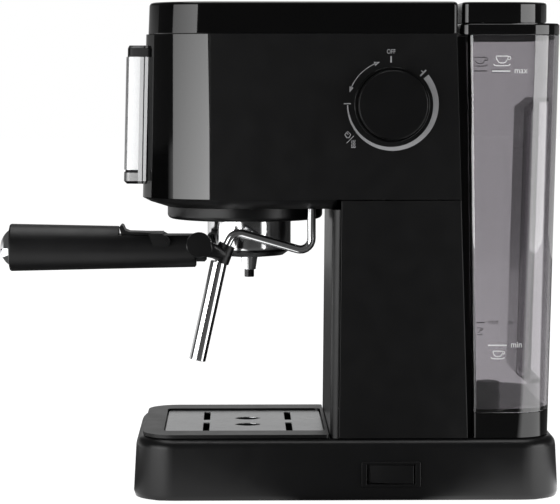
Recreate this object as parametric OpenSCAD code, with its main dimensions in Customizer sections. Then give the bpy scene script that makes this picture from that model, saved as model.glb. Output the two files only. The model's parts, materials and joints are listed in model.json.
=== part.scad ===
// Slim pump espresso machine with a portafilter, a swivel steam wand, a lift-out drip tray
// and a lift-out water tank behind the column. Millimetres, +Z up, front towards -Y, +X is
// the side with the steam knob. The origin is on the counter, under the middle of the base.

/* [Base] */
// Width of the base, side to side
base_w = 150; // [146:1:160]
// Length of the base, front to back
base_l = 270; // [266:1:282]
// Height of the base's flat top above the counter
base_h = 39.5; // [37:0.5:44]
// Plan radius of the base's four corners
base_corner_r = 26; // [22:1:32]
// Rounding of the base's top edge
base_edge_r = 6; // [5:0.5:6.5]
// How far the base's walls lean inwards below that edge
base_draft = 1.6; // [0.5:0.1:2]
// Wall of the moulded shells
shell_wall = 2.5; // [2:0.1:3]
// Gap between the counter and the underside of the base
floor_gap = 1.2; // [1.2:0.1:2.5]
// Length of each rubber foot
foot_l = 41; // [30:1:46]
// Width of each rubber foot
foot_w = 15; // [12:1:17]
// Distance between the middles of the left and right feet
foot_track = 118; // [106:1:120]
// Radius of the base screws' shanks
screw_r = 1.7; // [1.4:0.1:2]

/* [Drip tray] */
// Width of the tray's rim
tray_w = 138; // [134:1:140]
// Setback of the tray's front edge from the base's front
tray_setback = 6; // [5:0.5:8]
// Thickness of the tray's rim
tray_rim_t = 2.2; // [1.5:0.1:2.5]
// Width of the rim beside the grid
tray_side_rim = 18.5; // [14:0.5:21]
// Width of the rim in front of the grid
tray_front_rim = 13; // [10:0.5:16]
// Depth of the tub below the rim
tray_depth = 25; // [18:1:30]
// Wall of the tub
tray_wall = 1.8; // [1.5:0.1:2.2]
// Thickness of the steel grid
grid_t = 1; // [0.8:0.1:1.5]
// Depth of the grid's top below the rim's top
grid_drop = 1.4; // [1.2:0.1:2]
// Gap round the grid
grid_gap = 0.8; // [0.6:0.1:1]
// Width of the grid's long slots
slot_w = 4.2; // [3:0.1:6]

/* [Column and head] */
// Width of the column and the head
body_w = 140; // [136:1:144]
// Length of the cup bay, from the base's front to the column
bay_l = 124; // [120:0.5:130]
// Backward lean of the column's front over its height
column_lean = 1.4; // [0:0.1:4]
// Rounding of the column's front corners
column_corner_r = 6; // [4:0.5:8]
// Depth of the column's front cover along the side
column_cover_l = 5.2; // [4:0.2:6]
// Free space behind the housing for the tank, at the base
tank_bay_l = 59.2; // [56:0.2:63]
// Forward lean of the housing's back over its height
back_lean = 8.3; // [6:0.1:10]
// Height of the head's lower edge
head_z = 189.8; // [185:0.2:200]
// Height of the head between its lower edge and the top cover
head_h = 103.2; // [98:0.2:115]
// Height of the top cover
cover_h = 19.9; // [16:0.1:24]
// Setback of the head's front from the base's front
head_setback = 5.6; // [4:0.2:10]
// Backward lean of the head's front over its height
head_lean = 2.6; // [0:0.1:4]
// Length of the glossy front bezel along the side
bezel_l = 42; // [38:0.5:46]
// Length of the bezel's elliptical corner, which the seam cuts short
bezel_curve_l = 51; // [48:0.5:56]
// Width of the bezel's elliptical corner
bezel_curve_w = 41.6; // [38:0.2:44]
// Plan radius of the top cover's front corners
cover_corner_r = 39; // [34:0.5:42]
// Setback of the top cover's front from the bezel's
cover_setback = 1.5; // [1:0.1:3]
// Seam between neighbouring panels
seam = 0.4; // [0.3:0.1:0.6]
// Thickness of the cup-warming plate
warmer_t = 0.8; // [0.6:0.1:1.2]
// Width of the top cover's rim round the cup-warming plate
warmer_rim = 9; // [7:0.5:14]

/* [Control panel] */
// Width of the chrome control panel
panel_w = 81; // [78:1:88]
// Height of the chrome control panel
panel_h = 87.6; // [80:0.2:92]
// Height of the panel's lower edge above the head's lower edge
panel_rise = 8.6; // [6:0.2:10]
// How far the panel stands out from the bezel
panel_out = 12; // [9:0.5:15]
// Angle by which the panel's sides taper towards its front
panel_taper = 10; // [4:0.5:14]
// Depth by which the indicator band lies behind the panel's front
band_recess = 0.8; // [0.4:0.1:1.2]
// Depth of the trim ring behind the panel
panel_trim_t = 3; // [2:0.2:4]
// Radius of the push buttons
button_r = 8.5; // [7:0.5:9.5]
// Travel of the push buttons
button_travel = 1.5; // [1:0.1:2]
// Spacing of the push buttons
button_pitch = 24; // [22:0.5:25]

/* [Group and portafilter] */
// Distance of the group's axis from the base's front
group_reach = 73.8; // [72:0.2:78]
// Radius of the collar round the group
collar_r = 50.4; // [46:0.2:52]
// Height of the collar's lower rim
collar_z = 174.5; // [172:0.2:176]
// Radius of the portafilter's cup
cup_r = 27.2; // [26.6:0.1:28]
// Height of the lowest point of the cup's dish
cup_floor_z = 149; // [147:0.2:151]
// Radius of the cup's flange, inside the bayonet ramps
flange_r = 30.2; // [29.8:0.1:30.6]
// Radial reach of the bayonet lugs beyond the flange
lug_reach = 2.4; // [2:0.1:2.8]
// Half the angle that a bayonet lug covers
lug_half_angle = 17; // [14:1:19]
// Half the angle that a bayonet ramp covers
ramp_half_angle = 22; // [20:1:26]
// Running clearance between parts that turn or slide
run_gap = 0.3; // [0.25:0.05:0.4]
// Radius of the filter basket's body
basket_r = 25.9; // [25.4:0.1:26]
// Depth of the filter basket
basket_depth = 24; // [20:1:27]
// Length of the handle, from the neck's face to the free end
handle_l = 121.5; // [110:0.5:130]
// Radius of the handle at its free end
handle_r = 15.45; // [14:0.05:16]
// Radius of the handle where the thumb rest steps down
handle_mid_r = 14; // [13:0.1:14.5]
// Radius of the handle at the neck
handle_neck_r = 13; // [12:0.1:13.5]
// Height of the handle's axis
handle_z = 155.2; // [153:0.1:157]
// Radius of the retainer clip's pin
clip_pin_r = 1.5; // [1.2:0.1:1.8]

/* [Steam] */
// Sideways place of the steam wand's pivot
wand_x = 50; // [49.6:0.1:52]
// Distance of the wand's pivot from the column's front
wand_reach = 11.1; // [10:0.1:14]
// Radius of the wand's tube
wand_r = 2.7; // [2.4:0.1:3]
// Radius of the frother sleeve
sleeve_r = 5.25; // [4.8:0.05:5.6]
// Length of the frother sleeve
sleeve_l = 63.8; // [55:0.2:66]
// Radius of the finger tab on the wand's grip
tab_r = 8; // [6:0.2:8.6]
// Slant of the frother sleeve from the vertical
sleeve_slant = 12.5; // [8:0.5:16]
// Radius of the steam knob
knob_r = 21.6; // [19:0.1:24]
// How far the steam knob stands out from the head's side
knob_out = 14; // [11:0.5:18]
// Distance of the knob's axis from the housing's back, at the base
knob_back = 48.5; // [46:0.1:52]
// Height of the knob's axis above the head's lower edge
knob_rise = 59.2; // [56:0.2:64]
// Radial width of the chrome ring round the knob
knob_ring_w = 1.4; // [1.2:0.1:2]
// Radius of the valve spindle
spindle_r = 3; // [2.6:0.1:3.4]

/* [Water tank] */
// Width of the tank
tank_w = 138; // [132:1:142]
// Gap between the housing's back and the tank
tank_gap = 6.9; // [6:0.1:8]
// Length of the tank at its foot
tank_foot_l = 46; // [44:0.1:49]
// Length of the tank at its top
tank_top_l = 59.8; // [57:0.1:62]
// Height of the tank's clear wall
tank_h = 237; // [225:1:240]
// Height of the tank's black foot
tank_foot_h = 15.6; // [13:0.2:18]
// Wall of the tank
tank_wall = 2.2; // [1.8:0.1:2.6]
// Plan radius of the tank's rear corners
tank_rear_r = 24; // [18:1:26]
// Plan radius of the lid's rear corners
lid_rear_r = 26; // [16:1:28]
// Plan radius of the tank's front corners
tank_front_r = 8; // [6:1:10]
// Height of the tank's black rim
rim_h = 7.2; // [6:0.2:9]
// Height of the tank's lid
lid_h = 12.8; // [11:0.2:14]
// Length of the tank's lid
lid_l = 55.3; // [53:0.1:57]
// Width of the hand grip moulded into the tank's back
grip_w = 54; // [44:1:60]
// Depth of that hand grip
grip_depth = 16.5; // [10:0.5:18]
// Radius of the tank's outlet stub
outlet_r = 8; // [7:0.5:8.5]
// Distance of the outlet's axis from the tank's front
outlet_setback = 12.5; // [12.5:0.5:20]
// Height of the strainer over the outlet
strainer_h = 11.6; // [8:0.2:16]

/* [Hidden] */

round_fn = 64;
tiny = 0.01;

// Places along Y, all measured from the base's front and back
front_y = -base_l / 2;
back_y = base_l / 2;
column_y = front_y + bay_l;
housing_back_y = back_y - tank_bay_l;
head_y = front_y + head_setback;
bezel_back_y = head_y + bezel_l + head_lean / 2;
group_y = front_y + group_reach;
wand_y = column_y - wand_reach;
knob_y = housing_back_y - knob_back;
tray_front_y = front_y + tray_setback;
tray_back_y = column_y - 0.5;

// Places along Z
head_top_z = head_z + head_h;
cover_top_z = head_top_z + cover_h;
under_z = head_z - 6.2;
knob_z = head_z + knob_rise;
panel_z = head_z + panel_rise;
plate_t = 2;
plate_top_z = floor_gap + plate_t;
body_x = body_w / 2;
inner_x = body_x - shell_wall;

group_flange_z = under_z + shell_wall;
group_top_z = group_flange_z + 12;
block_w = 76;
block_l = 62;
block_h = 34;

// Y of the leaning faces at a height
function column_front(z) = column_y + column_lean * (z - base_h) / (head_z - base_h);
function housing_back(z) = housing_back_y - back_lean * (z - base_h) / (head_top_z - base_h);
function head_front(z) = head_y + head_lean * (z - head_z) / head_h;

// Plan outline of a rounded box from y0 to y1, with steps points to a corner. The front
// corners are arcs of radius rf, or ellipses of width rf and length lf.
function corner(cx, cy, rx, ry, from, steps, span = 90) =
    [for (i = [0:steps]) let (a = from + span * i / steps) [cx + rx * cos(a), cy + ry * sin(a)]];
function outline(hw, y0, y1, rf, rr, steps = 7, lf = undef) = let (l = is_undef(lf) ? rf : lf)
    concat(corner(hw - rf, y0 + l, rf, l, -90, steps),
        corner(hw - rr, y1 - rr, rr, rr, 0, steps),
        corner(rr - hw, y1 - rr, rr, rr, 90, steps),
        corner(rf - hw, y0 + l, rf, l, 180, steps));
function at_height(points, z) = [for (p = points) [p[0], p[1], z]];

// Solid skin through rings of points, the lowest ring first
module skin(rings) {
    n = len(rings[0]);
    polyhedron(
        points = [for (ring = rings) each ring],
        faces = concat(
            [[for (i = [0:n - 1]) i]],
            [for (k = [0:len(rings) - 2], i = [0:n - 1])
                [k * n + i, (k + 1) * n + i, (k + 1) * n + (i + 1) % n, k * n + (i + 1) % n]],
            [[for (i = [n - 1:-1:0]) (len(rings) - 1) * n + i]]));
}

// Exact rounded plate, centred on X, from y0 to y1
module round_plate(w, y0, y1, r, t) {
    linear_extrude(t) union() {
        translate([-w / 2, y0 + r]) square([w, y1 - y0 - 2 * r]);
        translate([r - w / 2, y0]) square([w - 2 * r, y1 - y0]);
        for (x = [r - w / 2, w / 2 - r], y = [y0 + r, y1 - r])
            translate([x, y]) circle(r, $fn = round_fn);
    }
}

// Side outline given as [y, z] points, extruded along X from x0 to x1
module side_slab(points, x0, x1) {
    translate([x0, 0, 0]) rotate([90, 0, 90]) linear_extrude(x1 - x0) polygon(points);
}

// Cylinder along X from x0 to x1
module x_rod(x0, x1, y, z, r, r_end = undef) {
    translate([x0, y, z]) rotate([0, 90, 0])
        cylinder(h = x1 - x0, r1 = r, r2 = is_undef(r_end) ? r : r_end, $fn = round_fn);
}

// Cylinder along Y from y0, h long
module y_rod(x, y0, z, h, r) {
    translate([x, y0, z]) rotate([-90, 0, 0]) cylinder(h = h, r = r, $fn = round_fn);
}

// Cylinder along Z
module z_rod(x, y, z0, z1, r, r_end = undef) {
    translate([x, y, z0])
        cylinder(h = z1 - z0, r1 = r, r2 = is_undef(r_end) ? r : r_end, $fn = round_fn);
}

// Local frame at a point, with its Z along dir
function unit(v) = v / norm(v);
module along(from, dir) {
    side = abs(dir[2]) < 0.9 ? unit(cross([0, 0, 1], dir)) : unit(cross([0, 1, 0], dir));
    up = cross(dir, side);
    multmatrix([[side[0], up[0], dir[0], from[0]], [side[1], up[1], dir[1], from[1]],
        [side[2], up[2], dir[2], from[2]], [0, 0, 0, 1]]) children();
}

// Round bar along a route of straight runs p, with bends of radius bend at the corners.
// The path is a list of [point, direction]; a frame is carried along it without twist.
function turn(p, i) = acos(max(-1, min(1, unit(p[i] - p[i - 1]) * unit(p[i + 1] - p[i]))));
function bend_points(p, i, bend, steps) = let (
    d0 = unit(p[i] - p[i - 1]),
    d1 = unit(p[i + 1] - p[i]),
    out = -unit(d1 - d0 * (d0 * d1)),
    middle = p[i] - d0 * bend * tan(turn(p, i) / 2) - out * bend)
    [for (k = [0:steps]) let (a = turn(p, i) * k / steps)
        [middle + bend * (out * cos(a) + d0 * sin(a)), d0 * cos(a) - out * sin(a)]];
function bar_path(p, bend, steps) = let (last = len(p) - 1) concat(
    [[p[0], unit(p[1] - p[0])]],
    [for (i = [1:last - 1]) each bend_points(p, i, bend, steps)],
    [[p[last], unit(p[last] - p[last - 1])]]);
function square_to(n, dir) = unit(n - dir * (n * dir));
function normals(path, first) = [for (i = 0, n = square_to(first, path[0][1]); i < len(path);
    i = i + 1, n = i < len(path) ? square_to(n, path[i][1]) : n) n];
module bent_bar(p, bend, r, first = [1, 0, 0], sides = 12, steps = 5) {
    path = bar_path(p, bend, steps);
    n = normals(path, first);
    skin([for (i = [0:len(path) - 1]) [for (k = [0:sides - 1]) let (a = 360 * k / sides)
        path[i][0] + r * (n[i] * cos(a) + cross(path[i][1], n[i]) * sin(a))]]);
}

// ---------------------------------------------------------------- base
deck_inset = base_draft + base_edge_r;
bottom_inset = 1;
function base_ring(z, inset) = at_height(outline(base_w / 2 - inset, front_y + inset,
    back_y - inset, base_corner_r - inset, base_corner_r - inset, 8), z);
foot_y = base_l / 2 - 11.5 - foot_l / 2;
peg_r = 2.2;
boss_x = base_w / 2 - 12;
boss_ys = [tray_front_y + 60, housing_back_y - 14];
screw_l = 18;

// Rim of the drip tray and the places that follow from it
grid_hw = tray_w / 2 - tray_side_rim;
grid_y0 = tray_front_y + tray_front_rim;
grid_y1 = tray_back_y - tray_wall;
rim_z = base_h + run_gap;
tray_top_z = rim_z + tray_rim_t;
grid_z = tray_top_z - grid_t - grid_drop;
ledge_z = grid_z - run_gap;
ledge_w = 3;
tub_z = rim_z - tray_depth;
tub_r = 5;

// Inside of the base: the well that the tub stands in, and the bay behind it
rib_inset = bottom_inset + shell_wall;
well_hw = grid_hw + tray_wall + 0.6;
well_y0 = grid_y0 - tray_wall - 0.6;
well_y1 = tray_back_y + 0.6;
well_floor_z = tub_z - 1.2;
bay_hw = boss_x - 8;
bay_corner = 10;
bay_h = base_h - shell_wall - plate_top_z + 1;

// Power switch in the right-hand side wall of the base
switch_y = housing_back_y - 48.6;
switch_z = base_h - 21.8;
switch_l = 37;
switch_h = 16;
rocker_l = 29.6;
rocker_h = 12.6;
rocker_x = base_w / 2 - 3.6;
rocker_tilt = 7;

// Socket in the base for the tank's outlet
function tank_front(z) = housing_back(z) + tank_gap;
tank_z = base_h + run_gap;
tank_wall_z = tank_z + tank_foot_h;
tank_top_z = tank_wall_z + tank_h;
function tank_back(z) = tank_front(z) + tank_foot_l
    + (tank_top_l - tank_foot_l) * (z - tank_z) / (tank_top_z - tank_z);
outlet_y = tank_front(tank_z) + outlet_setback;
outlet_reach = 10;
outlet_floor_z = base_h - outlet_reach;
pin_top_z = outlet_floor_z + 4.4;
socket_gap = 0.1;
socket_wall = 3;
socket_floor_z = base_h - outlet_reach - 2.5;
nipple_z = socket_floor_z - 9;
socket_r = outlet_r + socket_gap + socket_wall;
seal_w = 1.5;
seal_z = base_h - 6.5;
seal_h = 2;

gland_x = -24;
gland_z = floor_gap + 16;
gland_r = 6;

module base_shell() {
    color("#202022") difference() {
        union() {
            difference() {
                skin(concat(
                    [base_ring(floor_gap, bottom_inset), base_ring(floor_gap + 3, 0)],
                    [for (a = [0:18:90]) base_ring(base_h - base_edge_r * (1 - sin(a)),
                        base_draft + base_edge_r * (1 - cos(a)))]));
                // recess for the base plate, space under the tray's well, space for the machine
                translate([0, 0, floor_gap - 1]) round_plate(base_w - 2 * rib_inset,
                    front_y + rib_inset, back_y - rib_inset, base_corner_r - rib_inset, plate_t + 1);
                translate([-well_hw, well_y0, plate_top_z - 1])
                    cube([2 * well_hw, well_y1 - well_y0, well_floor_z - shell_wall - plate_top_z + 1]);
                translate([-bay_hw, well_y1 + shell_wall, plate_top_z - 1])
                    cube([2 * bay_hw, back_y - base_corner_r - well_y1, bay_h]);
                translate([bay_corner - bay_hw, well_y1 + shell_wall, plate_top_z - 1])
                    cube([2 * (bay_hw - bay_corner), back_y - well_y1 - 2 * shell_wall, bay_h]);
            }
            z_rod(0, outlet_y, base_h - shell_wall - 3, base_h - tiny, socket_r + 3);
        }
        for (x = [-boss_x, boss_x], y = boss_ys)
            z_rod(x, y, 0, floor_gap + screw_l + 1, screw_r + 0.03);
        // well for the tub, hose and wiring opening under the column, socket for the tank
        translate([0, 0, well_floor_z])
            round_plate(2 * well_hw, well_y0, well_y1, tub_r, base_h);
        translate([-45, column_y + 16, base_h - shell_wall - 1]) cube([90, 36, shell_wall + 2]);
        z_rod(0, outlet_y, base_h - shell_wall - 9, base_h + 1, socket_r + 0.02);
        translate([gland_x, back_y + 1, gland_z]) rotate([90, 0, 0])
            cylinder(h = 12, r = gland_r + 0.1, $fn = round_fn);
        translate([bay_hw - 1, switch_y - (switch_l - 3) / 2, switch_z - (switch_h - 3) / 2])
            cube([40, switch_l - 3, switch_h - 3]);
    }
}

module base_plate() {
    inset = rib_inset + run_gap;
    vent_pitch = 9;
    color("#1b1b1c") difference() {
        translate([0, 0, floor_gap]) round_plate(base_w - 2 * inset, front_y + inset,
            back_y - inset, base_corner_r - inset, plate_t);
        for (x = [-boss_x, boss_x], y = boss_ys) {
            z_rod(x, y, floor_gap - 1, plate_top_z + 1, screw_r + 0.3);
            z_rod(x, y, floor_gap - tiny, floor_gap + 1.6, screw_r + 1.9, screw_r + 0.3);
        }
        for (x = [-1, 1], y = [-1, 1], k = [-1, 1])
            z_rod(x * foot_track / 2, y * foot_y + k * foot_l / 4, 0, 9, peg_r + 0.1);
        for (k = [-3:3]) translate([-30, column_y + 34 + k * vent_pitch - 1.5, 0])
            cube([60, 3, 9]);
    }
}

module rubber_feet() {
    color("#151515") for (x = [-1, 1], y = [-1, 1]) {
        translate([x * foot_track / 2, y * foot_y, 0])
            round_plate(foot_w, -foot_l / 2, foot_l / 2, foot_w / 2 - tiny, floor_gap);
        for (k = [-1, 1]) z_rod(x * foot_track / 2, y * foot_y + k * foot_l / 4,
            floor_gap - tiny, plate_top_z, peg_r);
    }
}

module base_screws() {
    color("#8a8d90") for (x = [-boss_x, boss_x], y = boss_ys) difference() {
        union() {
            z_rod(x, y, floor_gap + 0.3, floor_gap + 1.6, screw_r + 1.4, screw_r);
            z_rod(x, y, floor_gap + 1.5, floor_gap + screw_l, screw_r);
        }
        for (a = [0, 90]) translate([x, y, floor_gap]) rotate(a)
            translate([-0.4, -2, 0]) cube([0.8, 4, 1.1]);
    }
}

module cord_gland() {
    color("#161617") translate([gland_x, back_y, gland_z]) rotate([-90, 0, 0]) difference() {
        union() {
            cylinder(h = 2, r = gland_r + 2.5, $fn = round_fn);
            translate([0, 0, -7]) cylinder(h = 12, r = gland_r, $fn = round_fn);
            translate([0, 0, -8.5]) cylinder(h = 4, r = gland_r + 1.2, $fn = 6);
        }
        translate([0, 0, -10]) cylinder(h = 20, r = 3.6, $fn = round_fn);
    }
}

module switch_bezel() {
    wall = 1.5;
    color("#141415") translate([0, switch_y, switch_z]) difference() {
        union() {
            translate([base_w / 2, 0, 0]) side_frame(switch_l, switch_h, 0.8);
            translate([rocker_x - 12, -(switch_l - 3.4) / 2, -(switch_h - 3.4) / 2])
                cube([12 + base_w / 2 - rocker_x + tiny, switch_l - 3.4, switch_h - 3.4]);
        }
        translate([rocker_x - 12 + wall, -(rocker_l + 0.9) / 2, -(rocker_h - 0.8 + 0.6) / 2])
            cube([30, rocker_l + 0.9, rocker_h - 0.8 + 0.6]);
    }
}
module side_frame(l, h, t) {
    rotate([90, 0, 90]) linear_extrude(t) union() {
        translate([-l / 2 + 1, -h / 2]) square([l - 2, h]);
        translate([-l / 2, -h / 2 + 1]) square([l, h - 2]);
        for (x = [-1, 1], y = [-1, 1]) translate([x * (l / 2 - 1), y * (h / 2 - 1)])
            circle(1, $fn = round_fn);
    }
}

module power_rocker() {
    half = rocker_l / 2 - 0.2;
    high = rocker_h - 0.8;
    color("#101011") translate([rocker_x, switch_y, switch_z - high / 2]) rotate(-rocker_tilt)
        linear_extrude(high) polygon([[-4, -6], [1.2, -half], [2.6, -half], [3.5, 0],
            [2.6, half], [1.2, half], [-4, 6]]);
}

module drip_tray() {
    color("#242426") difference() {
        union() {
            translate([0, 0, rim_z]) linear_extrude(tray_rim_t) polygon(outline(tray_w / 2,
                tray_front_y, tray_back_y, base_corner_r - tray_setback, 2, 8));
            translate([0, 0, ledge_z - tray_wall]) round_plate(2 * (grid_hw + tray_wall),
                grid_y0 - tray_wall, tray_back_y, tub_r, rim_z - ledge_z + tray_wall + tiny);
            translate([0, 0, tub_z]) round_plate(2 * (grid_hw + tray_wall - ledge_w),
                grid_y0 - tray_wall + ledge_w, tray_back_y - ledge_w, tub_r,
                ledge_z - tub_z - tray_wall + tiny);
        }
        translate([0, 0, ledge_z]) round_plate(2 * grid_hw, grid_y0, grid_y1, tub_r - 1, 9);
        translate([0, 0, tub_z + tray_wall]) round_plate(2 * (grid_hw - ledge_w),
            grid_y0 + ledge_w, grid_y1 - ledge_w, tub_r - 1, tray_depth);
    }
}

// Long slots in two rows and a pair of pointed drain holes between them
slot_rows = [group_y - 28, group_y + 25.4];
slot_x0 = 6;
module drip_grid() {
    hw = grid_hw - grid_gap;
    color("#a9abad") difference() {
        translate([0, 0, grid_z])
            round_plate(2 * hw, grid_y0 + grid_gap, grid_y1 - grid_gap, tub_r - 1.5, grid_t);
        for (side = [-1, 1], y = slot_rows) {
            x0 = side > 0 ? slot_x0 : -(hw - 7);
            translate([x0, y - slot_w / 2, grid_z - 1]) cube([hw - 7 - slot_x0, slot_w, grid_t + 2]);
        }
        for (side = [-1, 1]) translate([side * 13.8, group_y - 1, grid_z - 1])
            linear_extrude(grid_t + 2) intersection() {
                translate([3, 0]) circle(9, $fn = round_fn);
                translate([-3, 0]) circle(9, $fn = round_fn);
            }
    }
}

// ---------------------------------------------------------------- column
function column_ring(z, inset) = at_height(outline(body_x - inset, column_front(z) + inset,
    column_front(z) + 60 - inset, column_corner_r - inset, 2, 5), z);

module column_front_cover() {
    z1 = under_z;
    color("#29292b") intersection() {
        difference() {
            skin([column_ring(base_h, 0), column_ring(z1, 0)]);
            skin([column_ring(base_h - 1, shell_wall), column_ring(z1 + 1, shell_wall)]);
        }
        side_slab([[column_y - 9, base_h - 1], [column_front(base_h) + column_cover_l, base_h - 1],
            [column_front(z1) + column_cover_l, z1 + 1], [column_y - 9, z1 + 1]],
            -body_x - 1, body_x + 1);
    }
}

// Side panel of the column, a flat wall with two fixing bosses inside
module column_side() {
    z0 = base_h;
    z1 = head_z - seam;
    color("#1c1c1e") union() {
        side_slab([[column_front(z0) + column_cover_l + seam, z0], [housing_back(z0), z0],
            [housing_back(z1), z1], [column_front(z1) + column_cover_l + seam, z1]],
            inner_x, body_x);
        for (z = [z0 + 30, z1 - 30]) x_rod(inner_x - 6, inner_x + tiny, column_y + 24, z, 3.5);
    }
}
module column_side_right() { column_side(); }
module column_side_left() { mirror([1, 0, 0]) column_side(); }

rest_gap = 0.5;
rest_hw = body_x - 10;
rest_top_z = tank_top_z - 1;
function rest_back(z, inset) = tank_front(z) - rest_gap - inset;
module tank_rest(z0, z1, inset) {
    side_slab([[housing_back(z0) - 2 * inset - tiny, z0], [rest_back(z0, inset), z0],
        [rest_back(z1, inset), z1], [housing_back(z1) - 2 * inset - tiny, z1]],
        inset - rest_hw, rest_hw - inset);
}
module rear_cover() {
    z0 = base_h;
    color("#1c1c1e") difference() {
        union() {
            side_slab([[housing_back(z0) - shell_wall, z0], [housing_back(z0), z0],
                [housing_back(head_top_z), head_top_z],
                [housing_back(head_top_z) - shell_wall, head_top_z]], -inner_x, inner_x);
            // raised middle that the tank's front wall stands against
            tank_rest(z0, rest_top_z, 0);
        }
        tank_rest(z0 + shell_wall, rest_top_z - shell_wall, shell_wall);
        for (k = [0:6]) translate([-30, housing_back_y - 20, head_top_z - 40 - 7 * k])
            cube([60, 40, 3]);
    }
}

chassis_t = 1.5;
chassis_back_y = housing_back(head_top_z) - shell_wall - 8;
pump_y = (column_y + shell_wall + chassis_back_y - chassis_t) / 2;
pump_r = 16;
pump_z0 = base_h + 50;
pump_z1 = pump_z0 + 46;
pump_neck_r = 7;
pump_mount_r = 12;
pump_mount_zs = [pump_z0 - 16, pump_z1 + 9];
pump_bottom_z = pump_z0 - 28;
pump_top_z = pump_z1 + 24;
valve_x0 = 20;
valve_x1 = 44;
module inner_chassis() {
    back = chassis_back_y;
    shelf_z = head_z + 5;
    hw = inner_x - 6;
    color("#9fa3a6") difference() {
        union() {
            translate([-hw, column_y + 12, base_h])
                cube([2 * hw, back - column_y - 12, chassis_t]);
            translate([-hw, back - chassis_t, base_h])
                cube([2 * hw, chassis_t, head_top_z - base_h - 30]);
            translate([-hw, column_y + 5, shelf_z])
                cube([2 * hw, back - column_y - 5, chassis_t]);
            for (z = pump_mount_zs) translate([-24, pump_y - pump_mount_r - 2, z + 3])
                cube([48, back - pump_y + pump_mount_r + 2, chassis_t]);
            // bracket under the steam valve
            translate([valve_x0 + 8, knob_y - 8, shelf_z]) cube([2, 16, knob_z - 10 - shelf_z]);
            // lugs that reach the side panels' bosses
            for (x = [-1, 1], z = [base_h + 30, head_z - seam - 30])
                translate([x > 0 ? hw - chassis_t : -hw, column_y + 18, z - 6])
                    cube([chassis_t, back - column_y - 18, 12]);
            for (z = [base_h + 60, head_top_z - 60]) translate([-20, back - tiny, z])
                cube([40, rest_back(z, shell_wall) - back, chassis_t]);
        }
        for (z = pump_mount_zs) z_rod(0, pump_y, z - 5, z + 12, pump_mount_r - 1.5);
        z_rod(0, pump_y, base_h - 1, base_h + 3, 7);
        z_rod(0, pump_y, shelf_z - 1, shelf_z + 3, 5);
    }
}

// ---------------------------------------------------------------- pump and water path
module vibration_pump() {
    color("#c9cbc8") union() {
        z_rod(0, pump_y, pump_z0, pump_z1, pump_r);
        for (z = [pump_z0 - 2, pump_z1 - tiny]) translate([2 - pump_r, pump_y + 2 - pump_r, z])
            cube([2 * pump_r - 4, 2 * pump_r - 4, 2 + tiny]);
        z_rod(0, pump_y, pump_bottom_z + 8, pump_z0, pump_neck_r);
        z_rod(0, pump_y, pump_z1, pump_top_z - 6, pump_neck_r);
        z_rod(0, pump_y, pump_bottom_z, pump_bottom_z + 8 + tiny, 3);
        z_rod(0, pump_y, pump_top_z - 6 - tiny, pump_top_z, 3);
        for (y = [-6, 6]) translate([pump_r - 3, pump_y + y - 3, pump_z1 - 10])
            cube([8, 6, 0.8]);
    }
}

module pump_mounts() {
    color("#2b2b2b") for (z = pump_mount_zs) translate([0, pump_y, z]) difference() {
        union() {
            cylinder(h = 2.9, r = pump_mount_r, $fn = round_fn);
            cylinder(h = 7.5, r = pump_mount_r - 1.6, $fn = round_fn);
            translate([0, 0, 4.6]) cylinder(h = 2.9, r = pump_mount_r, $fn = round_fn);
        }
        translate([0, 0, -1]) cylinder(h = 10, r = pump_neck_r + 0.05, $fn = round_fn);
    }
}

hose_r = 4;
module pump_hose() {
    low_z = plate_top_z + hose_r + 1.4;
    feed_z = group_top_z + block_h / 2 + 4;
    cuff_l = 6;
    color("#d8d8d2") {
        bent_bar([[0, outlet_y, nipple_z], [0, outlet_y, low_z], [0, pump_y, low_z],
            [0, pump_y, pump_bottom_z]], 8, hose_r);
        bent_bar([[0, pump_y, pump_top_z], [0, pump_y, feed_z],
            [0, group_y + block_l / 2 + 0.1, feed_z]], 10, hose_r);
        cuff(pump_y, pump_bottom_z - tiny, cuff_l, 3.05);
        cuff(pump_y, pump_top_z - cuff_l + tiny, cuff_l, 3.05);
        cuff(outlet_y, nipple_z - tiny, cuff_l, 2.55);
    }
}
module cuff(y, z, l, bore) {
    translate([0, y, z]) difference() {
        cylinder(h = l, r = hose_r, $fn = round_fn);
        translate([0, 0, -1]) cylinder(h = l + 2, r = bore, $fn = round_fn);
    }
}

module tank_socket() {
    color("#1d1d1f") difference() {
        union() {
            z_rod(0, outlet_y, socket_floor_z - 2, base_h, socket_r);
            z_rod(0, outlet_y, nipple_z, socket_floor_z - 1, 2.5);
        }
        z_rod(0, outlet_y, socket_floor_z, base_h + 1, outlet_r + socket_gap);
        z_rod(0, outlet_y, seal_z, seal_z + seal_h, outlet_r + socket_gap + seal_w);
        for (a = [0:120:240]) translate([5 * cos(a), outlet_y + 5 * sin(a), socket_floor_z - 3])
            cylinder(h = 5, r = 1.2, $fn = 24);
    }
    // the pin that holds the tank's valve open
    color("#1d1d1f") z_rod(0, outlet_y, socket_floor_z - tiny, pin_top_z, 1.8);
}

module socket_seal() {
    color("#6b2a22") translate([0, outlet_y, seal_z]) difference() {
        cylinder(h = seal_h, r = outlet_r + socket_gap + seal_w, $fn = round_fn);
        translate([0, 0, -1]) cylinder(h = seal_h + 2, r = outlet_r + socket_gap, $fn = round_fn);
    }
}

// ---------------------------------------------------------------- head
// The elliptical corner is cut by the seam where its half-width is body_x
cut_share = (bezel_curve_l - bezel_l) / bezel_curve_l;
bezel_hw = body_x + bezel_curve_w * (1 - sqrt(1 - cut_share * cut_share));
function head_ring(z, inset) = at_height(outline(bezel_hw - inset, head_front(z) + inset,
    housing_back(z) + 30, bezel_curve_w - inset, 2, 12, bezel_curve_l - inset), z);
module head_solid(z0, z1, inset) { skin([head_ring(z0, inset), head_ring(z1, inset)]); }

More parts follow.
